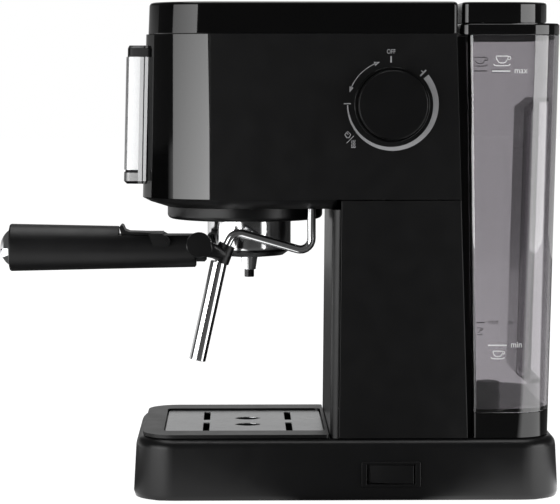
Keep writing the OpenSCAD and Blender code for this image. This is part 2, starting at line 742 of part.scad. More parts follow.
// Side panel of the head, with the opening for the steam valve's spindle
module head_side(with_hole) {
    z0 = head_z;
    z1 = head_top_z;
    color("#1c1c1e") difference() {
        union() {
            side_slab([[bezel_back_y + seam, z0], [housing_back(z0), z0],
                [housing_back(z1), z1], [bezel_back_y + seam, z1]], inner_x, body_x);
            for (y = [bezel_back_y + 20, housing_back(z1) - 20])
                x_rod(inner_x - 6, inner_x + tiny, y, z1 - 20, 3.5);
        }
        if (with_hole) x_rod(inner_x - 1, body_x + 1, knob_y, knob_z, spindle_r + 2);
        for (y = [bezel_back_y + 20, housing_back(z1) - 20])
            x_rod(inner_x - 7, inner_x - 1, y, z1 - 20, 1.5);
    }
}
module head_side_right() { head_side(true); }
module head_side_left() { mirror([1, 0, 0]) head_side(false); }

// Glossy front cover that wraps round both corners, open behind the control panel
module head_bezel() {
    window_w = panel_w - 8;
    window_h = panel_h - 8;
    color("#0d0d0e") difference() {
        intersection() {
            difference() {
                head_solid(head_z, head_top_z, 0);
                head_solid(head_z - 1, head_top_z + 1, shell_wall);
            }
            translate([-body_x - 1, head_y - 5, head_z - 2])
                cube([2 * body_x + 2, bezel_back_y - head_y + 5, head_h + 4]);
        }
        translate([-window_w / 2, head_y - 5, panel_z + (panel_h - window_h) / 2])
            cube([window_w, 30, window_h]);
    }
}

// Underside of the head with the round collar that shrouds the group
wand_flange_z = head_z + 1;
collar_y = group_y - 2.75;
group_ring_r = flange_r + lug_reach + 7.4;
collar_bore_r = group_ring_r + 1;
function under_ring(z, narrow, y0, inset) = at_height(outline(bezel_hw - narrow - inset,
    y0 + inset, column_y + column_cover_l - inset, bezel_curve_w - narrow - inset, 4, 12,
    bezel_curve_l - narrow - inset), z);
module head_bottom_cover() {
    taper = 16.5;
    wall = shell_wall;
    y0 = head_front(head_z);
    edge = 3;
    color("#1a1a1b") difference() {
        union() {
            intersection() {
                difference() {
                    skin([under_ring(under_z, 9.6, y0 + taper, 0),
                        under_ring(under_z + 3.6, 3.1, y0 + 5, 0), under_ring(head_z, 0, y0, 0)]);
                    skin([under_ring(under_z + wall, 9.6, y0 + taper, 1),
                        under_ring(head_z + 1, 0, y0, wall)]);
                }
                translate([-body_x, y0 - 1, under_z - 1]) cube([body_w, base_l, head_z]);
            }
            translate([0, collar_y, collar_z]) rotate_extrude($fn = round_fn)
                polygon(concat([[0, 0]], [for (a = [-90:15:0])
                    [collar_r - edge + edge * cos(a), edge + edge * sin(a)]],
                    [[collar_r, under_z + wall - collar_z], [0, under_z + wall - collar_z]]));
            z_rod(wand_x, wand_y, under_z + wall - tiny, head_z + 8, wand_r + 5);
        }
        z_rod(0, group_y, collar_z - 1, head_z + 1, collar_bore_r);
        z_rod(wand_x, wand_y, under_z - 1, head_z + 9, wand_r + run_gap);
        z_rod(wand_x, wand_y, wand_flange_z - run_gap, wand_flange_z + 2 + run_gap,
            wand_r + 2 + run_gap);
    }
}

function cover_ring(z, inset) = at_height(outline(body_x - inset,
    head_front(head_top_z) + cover_setback + inset + (z - head_top_z) * 0.04,
    housing_back(head_top_z) + 0.6 - inset, cover_corner_r - inset, 3, 12), z);
module top_cover() {
    floor_z = cover_top_z - 3;
    color("#0c0c0d") difference() {
        skin([cover_ring(head_top_z, 0), cover_ring(cover_top_z - 2, 0),
            cover_ring(cover_top_z - 0.6, 0.6), cover_ring(cover_top_z, 2)]);
        skin([cover_ring(head_top_z - 1, shell_wall), cover_ring(floor_z - shell_wall, shell_wall)]);
        translate([0, 0, floor_z]) linear_extrude(9) polygon(warmer_outline(0));
    }
}
function warmer_outline(gap) = outline(body_x - warmer_rim - gap,
    head_front(head_top_z) + cover_setback + warmer_rim + gap,
    housing_back(head_top_z) - warmer_rim - gap, cover_corner_r - warmer_rim - gap, 8 - gap, 10);

// Pressed steel plate on the top cover, with rows of short vent slots
module cup_warmer_plate() {
    vent_w = 3;
    vent_l = 20;
    color("#b4b6b8") translate([0, 0, cover_top_z - 3]) difference() {
        linear_extrude(warmer_t) polygon(warmer_outline(0.5));
        for (x = [-1, 0, 1], k = [-3:3]) translate([x * 32, knob_y - 30 + k * 12, -1])
            linear_extrude(warmer_t + 2) union() {
                square([vent_l - vent_w, vent_w], center = true);
                for (s = [-1, 1]) translate([s * (vent_l - vent_w) / 2, 0])
                    circle(vent_w / 2, $fn = 32);
            }
    }
}

// ---------------------------------------------------------------- control panel
panel_wall = 2;
panel_top_z = panel_z + panel_h;
band_z0 = panel_top_z - 7.2;
band_z1 = panel_top_z - 1.7;
band_t = 1.2;
groove_z = panel_z + 7.2;
groove_h = 1.7;
button_zs = [for (k = [1, 0, -1]) panel_z + panel_h / 2 + k * button_pitch - 1];
board_y = head_front(panel_z) - panel_trim_t;
function panel_front(z) = head_front(z) - panel_out;
// Ring with tapering sides, as wide as panel_w where they meet the bezel's front
panel_r = 4.5;
function panel_ring(z, inset) = let (
        t = panel_taper,
        y = panel_front(z) + panel_r,
        r = panel_r - inset,
        side = panel_w / 2 - inset / cos(t),
        x = side - (head_front(z) - y + r * sin(t)) * tan(t) - r * cos(t),
        back = side + 8 * tan(t))
    at_height(concat(corner(x, y, r, r, -90, 6, 90 - t), [[back, head_front(z) + 8]],
        [[-back, head_front(z) + 8]], corner(-x, y, r, r, 180 + t, 6, 90 - t)), z);
module panel_solid(inset) {
    edge = 1.8;
    skin([panel_ring(panel_z + inset, edge + inset), panel_ring(panel_z + edge, inset),
        panel_ring(band_z0, inset), panel_ring(band_z0 + tiny, inset + band_recess),
        panel_ring(panel_top_z - edge, inset + band_recess),
        panel_ring(panel_top_z - inset, edge + inset)]);
}
module panel_span(y_from_front, length) {
    side_slab([[panel_front(panel_z) + y_from_front, panel_z - 3],
        [panel_front(panel_z) + y_from_front + length, panel_z - 3],
        [panel_front(panel_top_z) + y_from_front + length, panel_top_z + 3],
        [panel_front(panel_top_z) + y_from_front, panel_top_z + 3]], -panel_w, panel_w);
}

// Three rods in a row across the indicator band: the lights, and their holes
lamp_r = 1.3;
module lamp_rods(y, h, r) {
    for (x = [-14, 0, 14]) y_rod(x, y, (band_z0 + band_z1) / 2, h, r);
}

// Groove all round the panel, such as the one for the indicator band
module panel_groove(z0, z1, depth) {
    difference() {
        translate([-panel_w, panel_front(panel_z) - 5, z0]) cube([2 * panel_w, 60, z1 - z0]);
        panel_solid(depth);
    }
}

module control_panel() {
    color("#d5d7d9") difference() {
        intersection() {
            panel_solid(0);
            panel_span(-3, 3 + panel_out - panel_trim_t);
        }
        intersection() {
            panel_solid(panel_wall);
            panel_span(panel_wall, 40);
        }
        panel_groove(band_z0, band_z1, band_t);
        panel_groove(groove_z, groove_z + groove_h, 0.8);
        for (z = button_zs) y_rod(0, panel_front(z) - 3, z, 9, button_r + run_gap);
        lamp_rods(panel_front(band_z0) - 2, 9, lamp_r + 0.05);
    }
    // posts that carry the button board
    color("#d5d7d9") for (x = [-26, 26], z = [button_zs[2] - 4, button_zs[0] + 1])
        y_rod(x, panel_front(z) + panel_wall - 0.1, z, board_y - panel_front(z) - panel_wall + 0.1,
            2.5);
}

module panel_trim() {
    color("#e2e4e6") difference() {
        intersection() {
            panel_solid(0);
            panel_span(panel_out - panel_trim_t, 40);
        }
        intersection() {
            panel_solid(panel_wall);
            panel_span(0, 60);
        }
        panel_groove(band_z0, band_z1, band_t);
        head_solid(head_z, head_top_z, 0);
    }
}

module indicator_window() {
    color("#0b0b0c") difference() {
        intersection() {
            difference() {
                panel_solid(0);
                panel_solid(band_t);
            }
            translate([-panel_w, panel_front(panel_z) - 5, band_z0])
                cube([2 * panel_w, 60, band_z1 - band_z0]);
        }
        head_solid(head_z, head_top_z, 0);
        lamp_rods(panel_front(band_z0) - 2, 9, lamp_r + 0.05);
    }
}

// Push button: round cap, retaining flange and a stem towards its switch
module push_button(k) {
    z = button_zs[k];
    proud = 1.2;
    color("#e9ebec") translate([0, panel_front(z) - proud, z]) rotate([-90, 0, 0])
        rotate_extrude($fn = round_fn) polygon([[0, 0.4], [button_r - 2.4, 0], [button_r - 0.8, 0.2],
            [button_r, 1], [button_r, proud + panel_wall + 0.6 + run_gap],
            [button_r + 1.2, proud + panel_wall + 0.6 + run_gap],
            [button_r + 1.2, proud + panel_wall + 1.8 + run_gap], [2, proud + panel_wall + 1.8 + run_gap],
            [2, board_y - panel_front(z) + proud - 1.2 - button_travel - run_gap],
            [0, board_y - panel_front(z) + proud - 1.2 - button_travel - run_gap]]);
}
module power_button() { push_button(0); }
module coffee_button() { push_button(1); }
module steam_button() { push_button(2); }

module button_board() {
    z0 = button_zs[2] - 10;
    color("#1f5a34") translate([-30, board_y, z0]) cube([60, 1.6, band_z1 - 1 - z0]);
    color("#2a2a2a") for (z = button_zs) y_rod(0, board_y - 1.2, z, 1.2, 3.4);
}

module indicator_lights() {
    y = panel_front(band_z0) + band_recess - 0.2;
    color("#e8efe9") lamp_rods(y, board_y - y, lamp_r);
}

// ---------------------------------------------------------------- brew group
flange_z0 = collar_z + 1.5;
ramp_z = flange_z0 + 3;
lug_z = ramp_z + run_gap;
lug_t = 3;
cup_rim_z = lug_z + 5.7;
basket_rim_t = 1.2;
gasket_z = cup_rim_z + basket_rim_t + run_gap;
gasket_h = 4.3;
gasket_r0 = flange_r - 5.2;
gasket_r1 = flange_r + 0.4;
screen_r = basket_r - 1.5;
screen_z = gasket_z - 1.9;

module wedge_ring(r0, r1, z0, z1, from, span) {
    translate([0, group_y, z0]) rotate(from) rotate_extrude(angle = span, $fn = round_fn)
        translate([r0, 0]) square([r1 - r0, z1 - z0]);
}

// Die-cast group with the two bayonet ramps that carry the portafilter's lugs
module group_head() {
    color("#b9bbbd") {
        difference() {
            union() {
                z_rod(0, group_y, flange_z0, group_flange_z, group_ring_r);
                z_rod(0, group_y, group_flange_z, group_flange_z + 4, collar_bore_r + 4.5);
                z_rod(0, group_y, group_flange_z + 4 - tiny, group_top_z, group_ring_r - 3);
            }
            z_rod(0, group_y, flange_z0 - 1, gasket_z + 0.2, flange_r + lug_reach + 0.6);
            difference() {
                z_rod(0, group_y, gasket_z, gasket_z + gasket_h, gasket_r1);
                z_rod(0, group_y, gasket_z - 1, gasket_z + gasket_h + 1, gasket_r0);
            }
        }
        z_rod(0, group_y, screen_z + 0.8, gasket_z + 1, screen_r - 4);
        for (from = [-ramp_half_angle, 180 - ramp_half_angle])
            wedge_ring(flange_r + 0.6, flange_r + lug_reach + 0.7, flange_z0, ramp_z, from,
                2 * ramp_half_angle);
    }
}

module group_gasket() {
    color("#3a2320") translate([0, group_y, gasket_z]) difference() {
        cylinder(h = gasket_h, r = gasket_r1, $fn = round_fn);
        translate([0, 0, -1]) cylinder(h = gasket_h + 2, r = gasket_r0, $fn = round_fn);
    }
}

module shower_screen() {
    color("#c9cccf") difference() {
        union() {
            z_rod(0, group_y, screen_z, screen_z + 0.8, screen_r);
            z_rod(0, group_y, screen_z - 1.2, screen_z + tiny, 3);
        }
        for (ring = [1:3], i = [0:6 * ring - 1])
            translate([0, group_y, screen_z - 1]) rotate(i * 60 / ring)
                translate([ring * 6 + 1, 0, 0]) cylinder(h = 3, r = 0.8, $fn = 16);
    }
}

module thermoblock() {
    color("#aeb0b1") translate([0, group_y, group_top_z]) union() {
        round_plate(block_w, -block_l / 2, block_l / 2, 10, block_h);
        // heating tube ends and terminals on both sides
        for (x = [-1, 1]) y_rod(x * (block_w / 2 - 14), -block_l / 2 - 10, block_h / 2, 11, 3.5);
        for (k = [-2:2]) translate([-block_w / 2 - 2, k * 11 - 1.2, 3])
            cube([block_w + 4, 2.4, block_h - 6]);
    }
}

module thermostats() {
    color("#d9d4c8") for (x = [-20, 20]) translate([x, group_y, group_top_z + block_h]) union() {
        cylinder(h = 6, r = 8, $fn = round_fn);
        translate([0, 0, 6 - tiny]) cylinder(h = 4, r = 5.5, $fn = round_fn);
        for (y = [-3.5, 3.5]) translate([-2.5, y - 0.4, 9]) cube([5, 0.8, 7]);
    }
}

module control_board() {
    shelf_top = head_z + 6.5;
    y0 = column_y + 14;
    board_l = chassis_back_y - 2 - y0;
    color("#2c6a3c") translate([-54, y0, shelf_top]) cube([1.6, board_l, 70]);
    color("#1c1c1e") for (k = [0:2])
        translate([-52.4 - tiny, y0 + 4 + k * (board_l - 20) / 2, shelf_top + 8])
            cube([14, 12, 24 + 6 * k]);
}

// ---------------------------------------------------------------- portafilter
handle_y = group_y - cup_r - 7.3;
step_y = handle_y - 52;
neck_r = 9.4;
thumb_cut = handle_z + 8.4;
pin_y = handle_y - 20.1;
pin_z = handle_z + 4.8;
strap_z = thumb_cut + run_gap;
cheek_x = handle_neck_r + 0.8;
cheek_t = 1.4;

// Height of the cup's dished floor at a radius, for its outer and inner faces
module portafilter_cup() {
    wall = 0.8;
    color("#d9dbdd") difference() {
        union() {
            translate([0, group_y, 0]) rotate_extrude($fn = round_fn) polygon([
                [0, cup_floor_z], [7, cup_floor_z], [cup_r - 5, cup_floor_z + 1.6],
                [cup_r - 1.2, cup_floor_z + 4.4], [cup_r, cup_floor_z + 7.5],
                [cup_r, flange_z0 + 0.5], [flange_r, flange_z0 + 1.5], [flange_r, cup_rim_z],
                [basket_r + 0.2, cup_rim_z], [basket_r + 0.2, cup_floor_z + 8],
                [cup_r - 5.5, cup_floor_z + 1.6 + 2 * wall], [7, cup_floor_z + 2 * wall],
                [0, cup_floor_z + 2 * wall]]);
            for (from = [-lug_half_angle, 180 - lug_half_angle])
                wedge_ring(flange_r - 1, flange_r + lug_reach, lug_z, lug_z + lug_t, from,
                    2 * lug_half_angle);
            // arm that holds the handle
            difference() {
                y_rod(0, handle_y + 6, handle_z, group_y - handle_y - 10, neck_r - 3);
                z_rod(0, group_y, cup_floor_z - 5, cup_rim_z, cup_r - 0.4);
            }
        }
        z_rod(0, group_y, cup_floor_z - 1, cup_floor_z + 3, 3);
    }
}

module filter_basket() {
    t = 0.5;
    floor_z = cup_rim_z - basket_depth;
    color("#c7cacc") difference() {
        translate([0, group_y, 0]) rotate_extrude($fn = round_fn) polygon([
            [0, floor_z], [basket_r - 2, floor_z], [basket_r, floor_z + 2], [basket_r, cup_rim_z],
            [flange_r - 0.6, cup_rim_z], [flange_r - 0.6, cup_rim_z + basket_rim_t],
            [basket_r - t, cup_rim_z + basket_rim_t], [basket_r - t, floor_z + 2.2],
            [basket_r - 2.2, floor_z + t], [0, floor_z + t]]);
        for (ring = [1:3], i = [0:6 * ring - 1]) translate([0, group_y, floor_z - 1])
            rotate(i * 60 / ring) translate([ring * 6, 0, 0]) cylinder(h = 3, r = 0.6, $fn = 16);
    }
}

module spout() {
    root_z = cup_floor_z + 1.7;
    cone_z = cup_floor_z - 8.2;
    tip_z = cone_z - 4.9;
    color("#d4d6d8") difference() {
        translate([0, group_y, 0]) union() {
            translate([0, 0, cone_z]) cylinder(h = cup_floor_z - cone_z, r1 = 4.15, r2 = 5.4,
                $fn = round_fn);
            translate([0, 0, cup_floor_z - tiny]) cylinder(h = root_z - cup_floor_z, r = 2.95,
                $fn = round_fn);
            translate([0, 0, tip_z]) cylinder(h = cone_z - tip_z + tiny, r = 3.15, $fn = round_fn);
        }
        z_rod(0, group_y, tip_z - 1, root_z + 1, 1.9);
    }
}

// Turned handle along -Y: round free end, thumb step and flat top for the retainer clip
module portafilter_handle() {
    end = handle_l;
    step = handle_y - step_y;
    nose = 1.4;
    color("#161617") difference() {
        translate([0, handle_y, handle_z]) rotate([90, 0, 0]) difference() {
            rotate_extrude($fn = round_fn) polygon(concat(
                [[0, -6.8], [neck_r - 1.4, -6.8], [neck_r, -5.4], [neck_r, 0],
                    [handle_neck_r - 1, 0], [handle_neck_r, 1], [handle_mid_r, step]],
                [for (a = [0:30:90]) [handle_r - nose + nose * cos(a), end - nose + nose * sin(a)]],
                [[0, end]]));
            translate([0, 0, end - 3]) cylinder(h = 9, r = cap_r + 0.05, $fn = round_fn);
            translate([0, 0, -13]) cylinder(h = 13, r = neck_r - 2.9, $fn = round_fn);
        }
        // flat under the clip's strap, and the hollow that meets the cup
        translate([-20, step_y + 1.5, thumb_cut]) cube([40, handle_y - step_y + 20, 20]);
        z_rod(0, group_y, cup_floor_z - 5, cup_rim_z, cup_r + 0.05);
    }
    color("#161617") x_rod(-cheek_x - cheek_t - 0.5, cheek_x + cheek_t + 0.5, pin_y, pin_z,
        clip_pin_r);
}

cap_r = 11.75;
module handle_end_cap() {
    dome = 6.3;
    ball_r = (cap_r * cap_r + dome * dome) / (2 * dome);
    color("#d2d4d6") translate([0, handle_y - handle_l, handle_z]) rotate([90, 0, 0]) union() {
        translate([0, 0, -3]) cylinder(h = 3.01, r = cap_r, $fn = round_fn);
        intersection() {
            translate([0, 0, dome - ball_r]) sphere(ball_r, $fn = round_fn);
            cylinder(h = dome + 1, r = cap_r, $fn = round_fn);
        }
    }
}

// Spring-steel and plastic clip that holds the basket while the grounds are knocked out
module retainer_clip() {
    hw = 9;
    t = 1.5;
    strap_y1 = pin_y - 1.4;
    strap_y0 = step_y + 2.5;
    color("#1b1b1c") difference() {
        union() {
            // strap, a little arched, and the fin that the thumb pushes
            side_slab([[strap_y0 + 1, strap_z], [strap_y1, strap_z], [strap_y1, strap_z + t - 0.4],
                [strap_y1 - 9, strap_z + t], [strap_y0 + 6, strap_z + t + 0.4],
                [strap_y0 + 3.4, strap_z + 3], [strap_y0 + 2, strap_z + 6],
                [strap_y0 + 0.6, strap_z + 6.4], [strap_y0 - 0.4, strap_z + 5]], -hw, hw);
            translate([-cheek_x - cheek_t, strap_y1 - 8, strap_z])
                cube([2 * (cheek_x + cheek_t), 8, t - 0.4]);
            for (x = [-cheek_x - cheek_t, cheek_x]) hull() {
                x_rod(x, x + cheek_t, pin_y, pin_z, 3.4);
                translate([x, strap_y1 - 9, strap_z]) cube([cheek_t, 8, t - 0.4]);
                translate([x, strap_y1 - 6, pin_z - 3]) cube([cheek_t, 4, 2]);
            }
        }
        x_rod(-30, 30, pin_y, pin_z, clip_pin_r + 0.05);
    }
}

// ---------------------------------------------------------------- steam wand
wand_top_z = head_z + 6;
bend_r = 7;
wand_low = [wand_x, wand_y, collar_z - 19.5];
wand_high = [wand_x, wand_y - 49.2, collar_z - 5.5];
sleeve_top = [wand_x, wand_y - 58.5, collar_z - 25];
grip_dir = unit(sleeve_top - wand_high);
sleeve_dir = [0, -sin(sleeve_slant), -cos(sleeve_slant)];

module wand_tube() {
    color("#cfd2d4") difference() {
        union() {
            bent_bar([[wand_x, wand_y, wand_top_z], wand_low, wand_high, sleeve_top,
                sleeve_top + sleeve_dir * sleeve_l * 0.5], bend_r, wand_r, sides = 24, steps = 7);
            z_rod(wand_x, wand_y, wand_flange_z, wand_flange_z + 2, wand_r + 2);
        }
        z_rod(wand_x, wand_y, collar_z - 3, wand_top_z + 1, 1.2);
    }
}

// Rubber grip with the flat oval finger tab
module wand_grip() {
    grip_l = 11.6;
    tab_t = 5;
    top = sleeve_top - grip_dir * (grip_l + 0.6);
    tab = [wand_x + 5, wand_y - 71, collar_z - 13.7];
    color("#141415") difference() {
        union() {
            along(top, grip_dir) cylinder(h = grip_l, r1 = 5.2, r2 = 6.2, $fn = round_fn);
            hull() {
                x_rod(tab[0], tab[0] + tab_t, tab[1], tab[2], tab_r - 0.6);
                x_rod(tab[0] + 0.8, tab[0] + tab_t - 0.8, tab[1], tab[2], tab_r);
                x_rod(tab[0] + 0.6, tab[0] + tab_t - 0.6, tab[1] + 3, tab[2] - 2, tab_r - 2.6);
            }
            hull() {
                x_rod(tab[0] + 0.4, tab[0] + tab_t - 1, tab[1] + 5, tab[2] - 2.4, 5);
                translate(sleeve_top - grip_dir * 6 + [2, -1, 0]) sphere(4.2, $fn = 20);
            }
        }
        along(top - grip_dir * 9, grip_dir) cylinder(h = 40, r = wand_r + 0.02, $fn = round_fn);
        // seat of the frother sleeve
        along(sleeve_top, sleeve_dir) cylinder(h = 20, r = sleeve_r + 0.02, $fn = round_fn);
    }
}

module frother_sleeve() {
    color("#d7d9db") difference() {
        along(sleeve_top, sleeve_dir) cylinder(h = sleeve_l, r = sleeve_r, $fn = round_fn);
        along(sleeve_top + sleeve_dir * 6, sleeve_dir) cylinder(h = sleeve_l, r = sleeve_r - 0.9,
            $fn = round_fn);
        along(sleeve_top - sleeve_dir * 3, sleeve_dir) cylinder(h = 12, r = wand_r + 0.02,
            $fn = round_fn);
    }
}

// ---------------------------------------------------------------- steam valve and knob
bonnet_x = 58;
spindle_x0 = 33;
needle_x0 = 26;
chamber_r = 3.6;
needle_r = 2;
module steam_valve_body() {
    color("#b8963e") difference() {
        union() {
            translate([valve_x0, knob_y - 10, knob_z - 10]) cube([valve_x1 - valve_x0, 20, 20]);
            x_rod(valve_x1 - tiny, bonnet_x, knob_y, knob_z, 8);
            translate([spindle_x0 - 1, knob_y - 10, knob_z]) rotate([90, 0, 0])
                cylinder(h = 5, r = 4, $fn = round_fn);
        }
        x_rod(valve_x0 + 4, valve_x1 + 1, knob_y, knob_z, chamber_r);
        x_rod(valve_x1, bonnet_x + 1, knob_y, knob_z, spindle_r + 0.05);
        x_rod(valve_x0 - 1, valve_x0 + 5, knob_y, knob_z, 1.2);
        translate([spindle_x0 - 1, knob_y, knob_z]) rotate([90, 0, 0])
            cylinder(h = 20, r = 1.2, $fn = round_fn);
    }
}

module valve_spindle() {
    knob_seat = body_x + knob_out - 5;
    color("#c3a14a") difference() {
        union() {
            x_rod(spindle_x0, knob_seat, knob_y, knob_z, spindle_r);
            x_rod(valve_x1 - 3, valve_x1 - run_gap, knob_y, knob_z, chamber_r - 0.1);
        }
        x_rod(spindle_x0 - 1, spindle_x0 + 5, knob_y, knob_z, needle_r + 0.05);
        translate([bonnet_x + 6, knob_y + spindle_r - 0.8, knob_z - 5]) cube([40, 5, 10]);
    }
}

module valve_needle() {
    color("#c9ccce") union() {
        x_rod(needle_x0, spindle_x0 + 3.5, knob_y, knob_z, needle_r);
        x_rod(needle_x0 - 1.6, needle_x0 + tiny, knob_y, knob_z, 0.6, needle_r);
    }
}

module steam_pipe() {
    feed_z = group_top_z + block_h;
    pipe_r = 2.5;
    valve_y = knob_y - 15;
    color("#e4e4df") {
        bent_bar([[spindle_x0 - 1, valve_y - 0.1, knob_z], [spindle_x0 - 1, wand_y, knob_z],
            [wand_x, wand_y, knob_z], [wand_x, wand_y, head_z + 12]], 7, pipe_r);
        z_rod(wand_x, wand_y, head_z + 8.1, head_z + 12 + tiny, 5);
        bent_bar([[14, group_y + 24, feed_z + 0.1], [14, group_y + 24, knob_z],
            [14, knob_y, knob_z], [valve_x0 - 0.1, knob_y, knob_z]], 5, pipe_r);
    }
}

// Knob with a chamfered bright edge, a blind spindle hole and a D-flat key
module steam_knob() {
    face = knob_out - 0.6;
    color("#131314") difference() {
        translate([body_x + 0.6, knob_y, knob_z]) rotate([0, 90, 0]) rotate_extrude($fn = round_fn)
            polygon([[0, 0], [knob_r - 0.4, 0], [knob_r, 1], [knob_r, face - 2],
                [knob_r - 1.6, face], [0, face]]);
        difference() {
            x_rod(body_x - 1, body_x + knob_out - 4.9, knob_y, knob_z, spindle_r + 0.02);
            translate([bonnet_x + 6, knob_y + spindle_r - 0.78, knob_z - 5]) cube([40, 5, 10]);
        }
        difference() {
            x_rod(body_x, body_x + knob_out - 6, knob_y, knob_z, knob_r - 2.5);
            x_rod(body_x - 1, body_x + knob_out, knob_y, knob_z, 7);
        }
    }
}

module knob_trim_ring() {
    color("#d8dadc") difference() {
        x_rod(body_x, body_x + 1.6, knob_y, knob_z, knob_r + 0.4 + knob_ring_w);
        x_rod(body_x - 1, body_x + 3, knob_y, knob_z, knob_r + 0.4);
    }
}

// ---------------------------------------------------------------- water tank
seat_t = 1.5;
poppet_z = pin_top_z + run_gap;
bridge_z = tank_z + 6;
stem_r = 2;
function tank_ring(z, inset) = at_height(outline(tank_w / 2 - inset, tank_front(z) + inset,
    tank_back(z) - inset, tank_front_r - inset, tank_rear_r - inset, 8), z);
module tank_solid(z0, z1, inset) { skin([tank_ring(z0, inset), tank_ring(z1, inset)]); }

// Hand grip: a slot up the back wall that narrows the tank behind it
module tank_grip(extra) {
    z0 = tank_wall_z + 16 - extra;
    z1 = tank_top_z - 42 + extra;
    y0 = tank_back(z0) - grip_depth - extra;
    side_slab([[y0, z0 + 6], [y0 + 8, z0], [y0 + 60, z0], [y0 + 60, z1],
        [tank_back(z1) - grip_depth - extra + 8, z1],
        [tank_back(z1) - grip_depth - extra, z1 - 6]],
        -grip_w / 2 - extra, grip_w / 2 + extra);
}

module tank_shell() {
    color([0.42, 0.40, 0.42, 0.45]) difference() {
        tank_solid(tank_wall_z, tank_top_z, 0);
        difference() {
            tank_solid(tank_wall_z + tank_wall, tank_top_z + 1, tank_wall);
            tank_grip(tank_wall);
        }
        tank_grip(0);
        z_rod(0, outlet_y, tank_wall_z - 1, tank_wall_z + tank_wall + 1, outlet_r + 1);
    }
}

// Black foot under the clear wall, with the outlet stub and the valve's guide bridge
module tank_foot() {
    wall = tank_wall;
    color("#121213") difference() {
        union() {
            difference() {
                tank_solid(tank_z, tank_wall_z, 0);
                tank_solid(tank_z - 1, tank_wall_z + 1, wall);
            }
            intersection() {
                tank_solid(tank_z, tank_wall_z, 0);
                translate([-100, 0, tank_z + 2]) cube([200, 300, 2]);
            }
            z_rod(0, outlet_y, tank_z + 2, tank_wall_z, outlet_r + 3.6);
            z_rod(0, outlet_y, outlet_floor_z, tank_z + 2 + tiny, outlet_r);
            // strainer that stands in the tank, with a waist between its two tiers
            for (tier = [[0, 0.5, outlet_r], [0.5, 0.72, outlet_r - 1.4], [0.72, 0.94, outlet_r - 0.2],
                [0.94, 1, outlet_r - 1]])
                z_rod(0, outlet_y, tank_wall_z + strainer_h * tier[0] - tiny,
                    tank_wall_z + strainer_h * tier[1], tier[2]);
        }
        difference() {
            z_rod(0, outlet_y, outlet_floor_z + seat_t, tank_wall_z + strainer_h - 1.6, outlet_r - 2);
            translate([-outlet_r, outlet_y - 1.5, bridge_z]) cube([2 * outlet_r, 3, 3]);
            z_rod(0, outlet_y, bridge_z, bridge_z + 3, stem_r + 1.2);
        }
        z_rod(0, outlet_y, outlet_floor_z - 1, outlet_floor_z + 3, outlet_r - 4);
        z_rod(0, outlet_y, bridge_z - 1, bridge_z + 9, stem_r + 0.1);
    }
}

module tank_valve() {
    color("#3b3b3d") union() {
        z_rod(0, outlet_y, poppet_z, poppet_z + 1.6, outlet_r - 2.7);
        z_rod(0, outlet_y, poppet_z + 1.5, bridge_z + 9, stem_r);
    }
}

// Coil spring between the poppet and the bridge
module valve_spring() {
    wire = 0.45;
    coil = 3.5;
    turns = 5;
    low = poppet_z + 1.6 + wire + 0.05;
    high = bridge_z - wire - 0.05;
    sides = 6;
    steps = turns * 10;
    rings = [for (i = [0:steps]) let (a = 360 * turns * i / steps, z = low + (high - low) * i / steps)
        [for (k = [0:sides - 1]) let (b = 360 * k / sides, r = coil + wire * cos(b))
            [r * cos(a), outlet_y + r * sin(a), z + wire * sin(b)]]];
    color("#b5b8ba") skin(rings);
}

function rim_ring(z, inset, open) = at_height(outline(tank_w / 2 + 0.3 - inset,
    tank_front(tank_top_z) - 4.2 + inset + open / 4, tank_back(tank_top_z) + 0.1 - inset - open,
    6, tank_rear_r - inset - open / 2, 8), z);
rim_top_z = tank_top_z + rim_h;
lid_z = rim_top_z + run_gap;
lid_top_z = lid_z + lid_h;
lid_y0 = tank_front(tank_top_z) - 3.4;
lid_y1 = lid_y0 + lid_l;
hinge_r = 2.5;
hinge_y = lid_y1 - hinge_r;
hinge_z = lid_z + hinge_r;
hinge_x = tank_w / 2 - 35;
ear_w = 4;
hinge_pin_r = 1.2;
lip_h = 3;
module tank_rim() {
    color("#0e0e0f") difference() {
        union() {
            skin([rim_ring(tank_top_z, 0, 0), rim_ring(rim_top_z - 1, 0, 0),
                rim_ring(rim_top_z, 1, 0)]);
            // lip that keeps the rim inside the tank's wall
            difference() {
                tank_solid(tank_top_z - lip_h, tank_top_z + tiny, tank_wall + 0.2);
                tank_solid(tank_top_z - lip_h - 1, tank_top_z + 1, tank_wall + 1.5);
            }
            for (x = [-hinge_x, hinge_x]) {
                x_rod(x - ear_w / 2, x + ear_w / 2, hinge_y, hinge_z, hinge_r - 0.1);
                translate([x - ear_w / 2, hinge_y - hinge_r + 0.1, rim_top_z - 0.5])
                    cube([ear_w, 2 * hinge_r - 0.2, hinge_z - rim_top_z + 0.5]);
            }
        }
        skin([rim_ring(tank_top_z - 1, 6, 10), rim_ring(rim_top_z + 1, 6, 10)]);
        for (x = [-hinge_x, hinge_x])
            x_rod(x - ear_w, x + ear_w, hinge_y, hinge_z, hinge_pin_r + 0.05);
    }
}

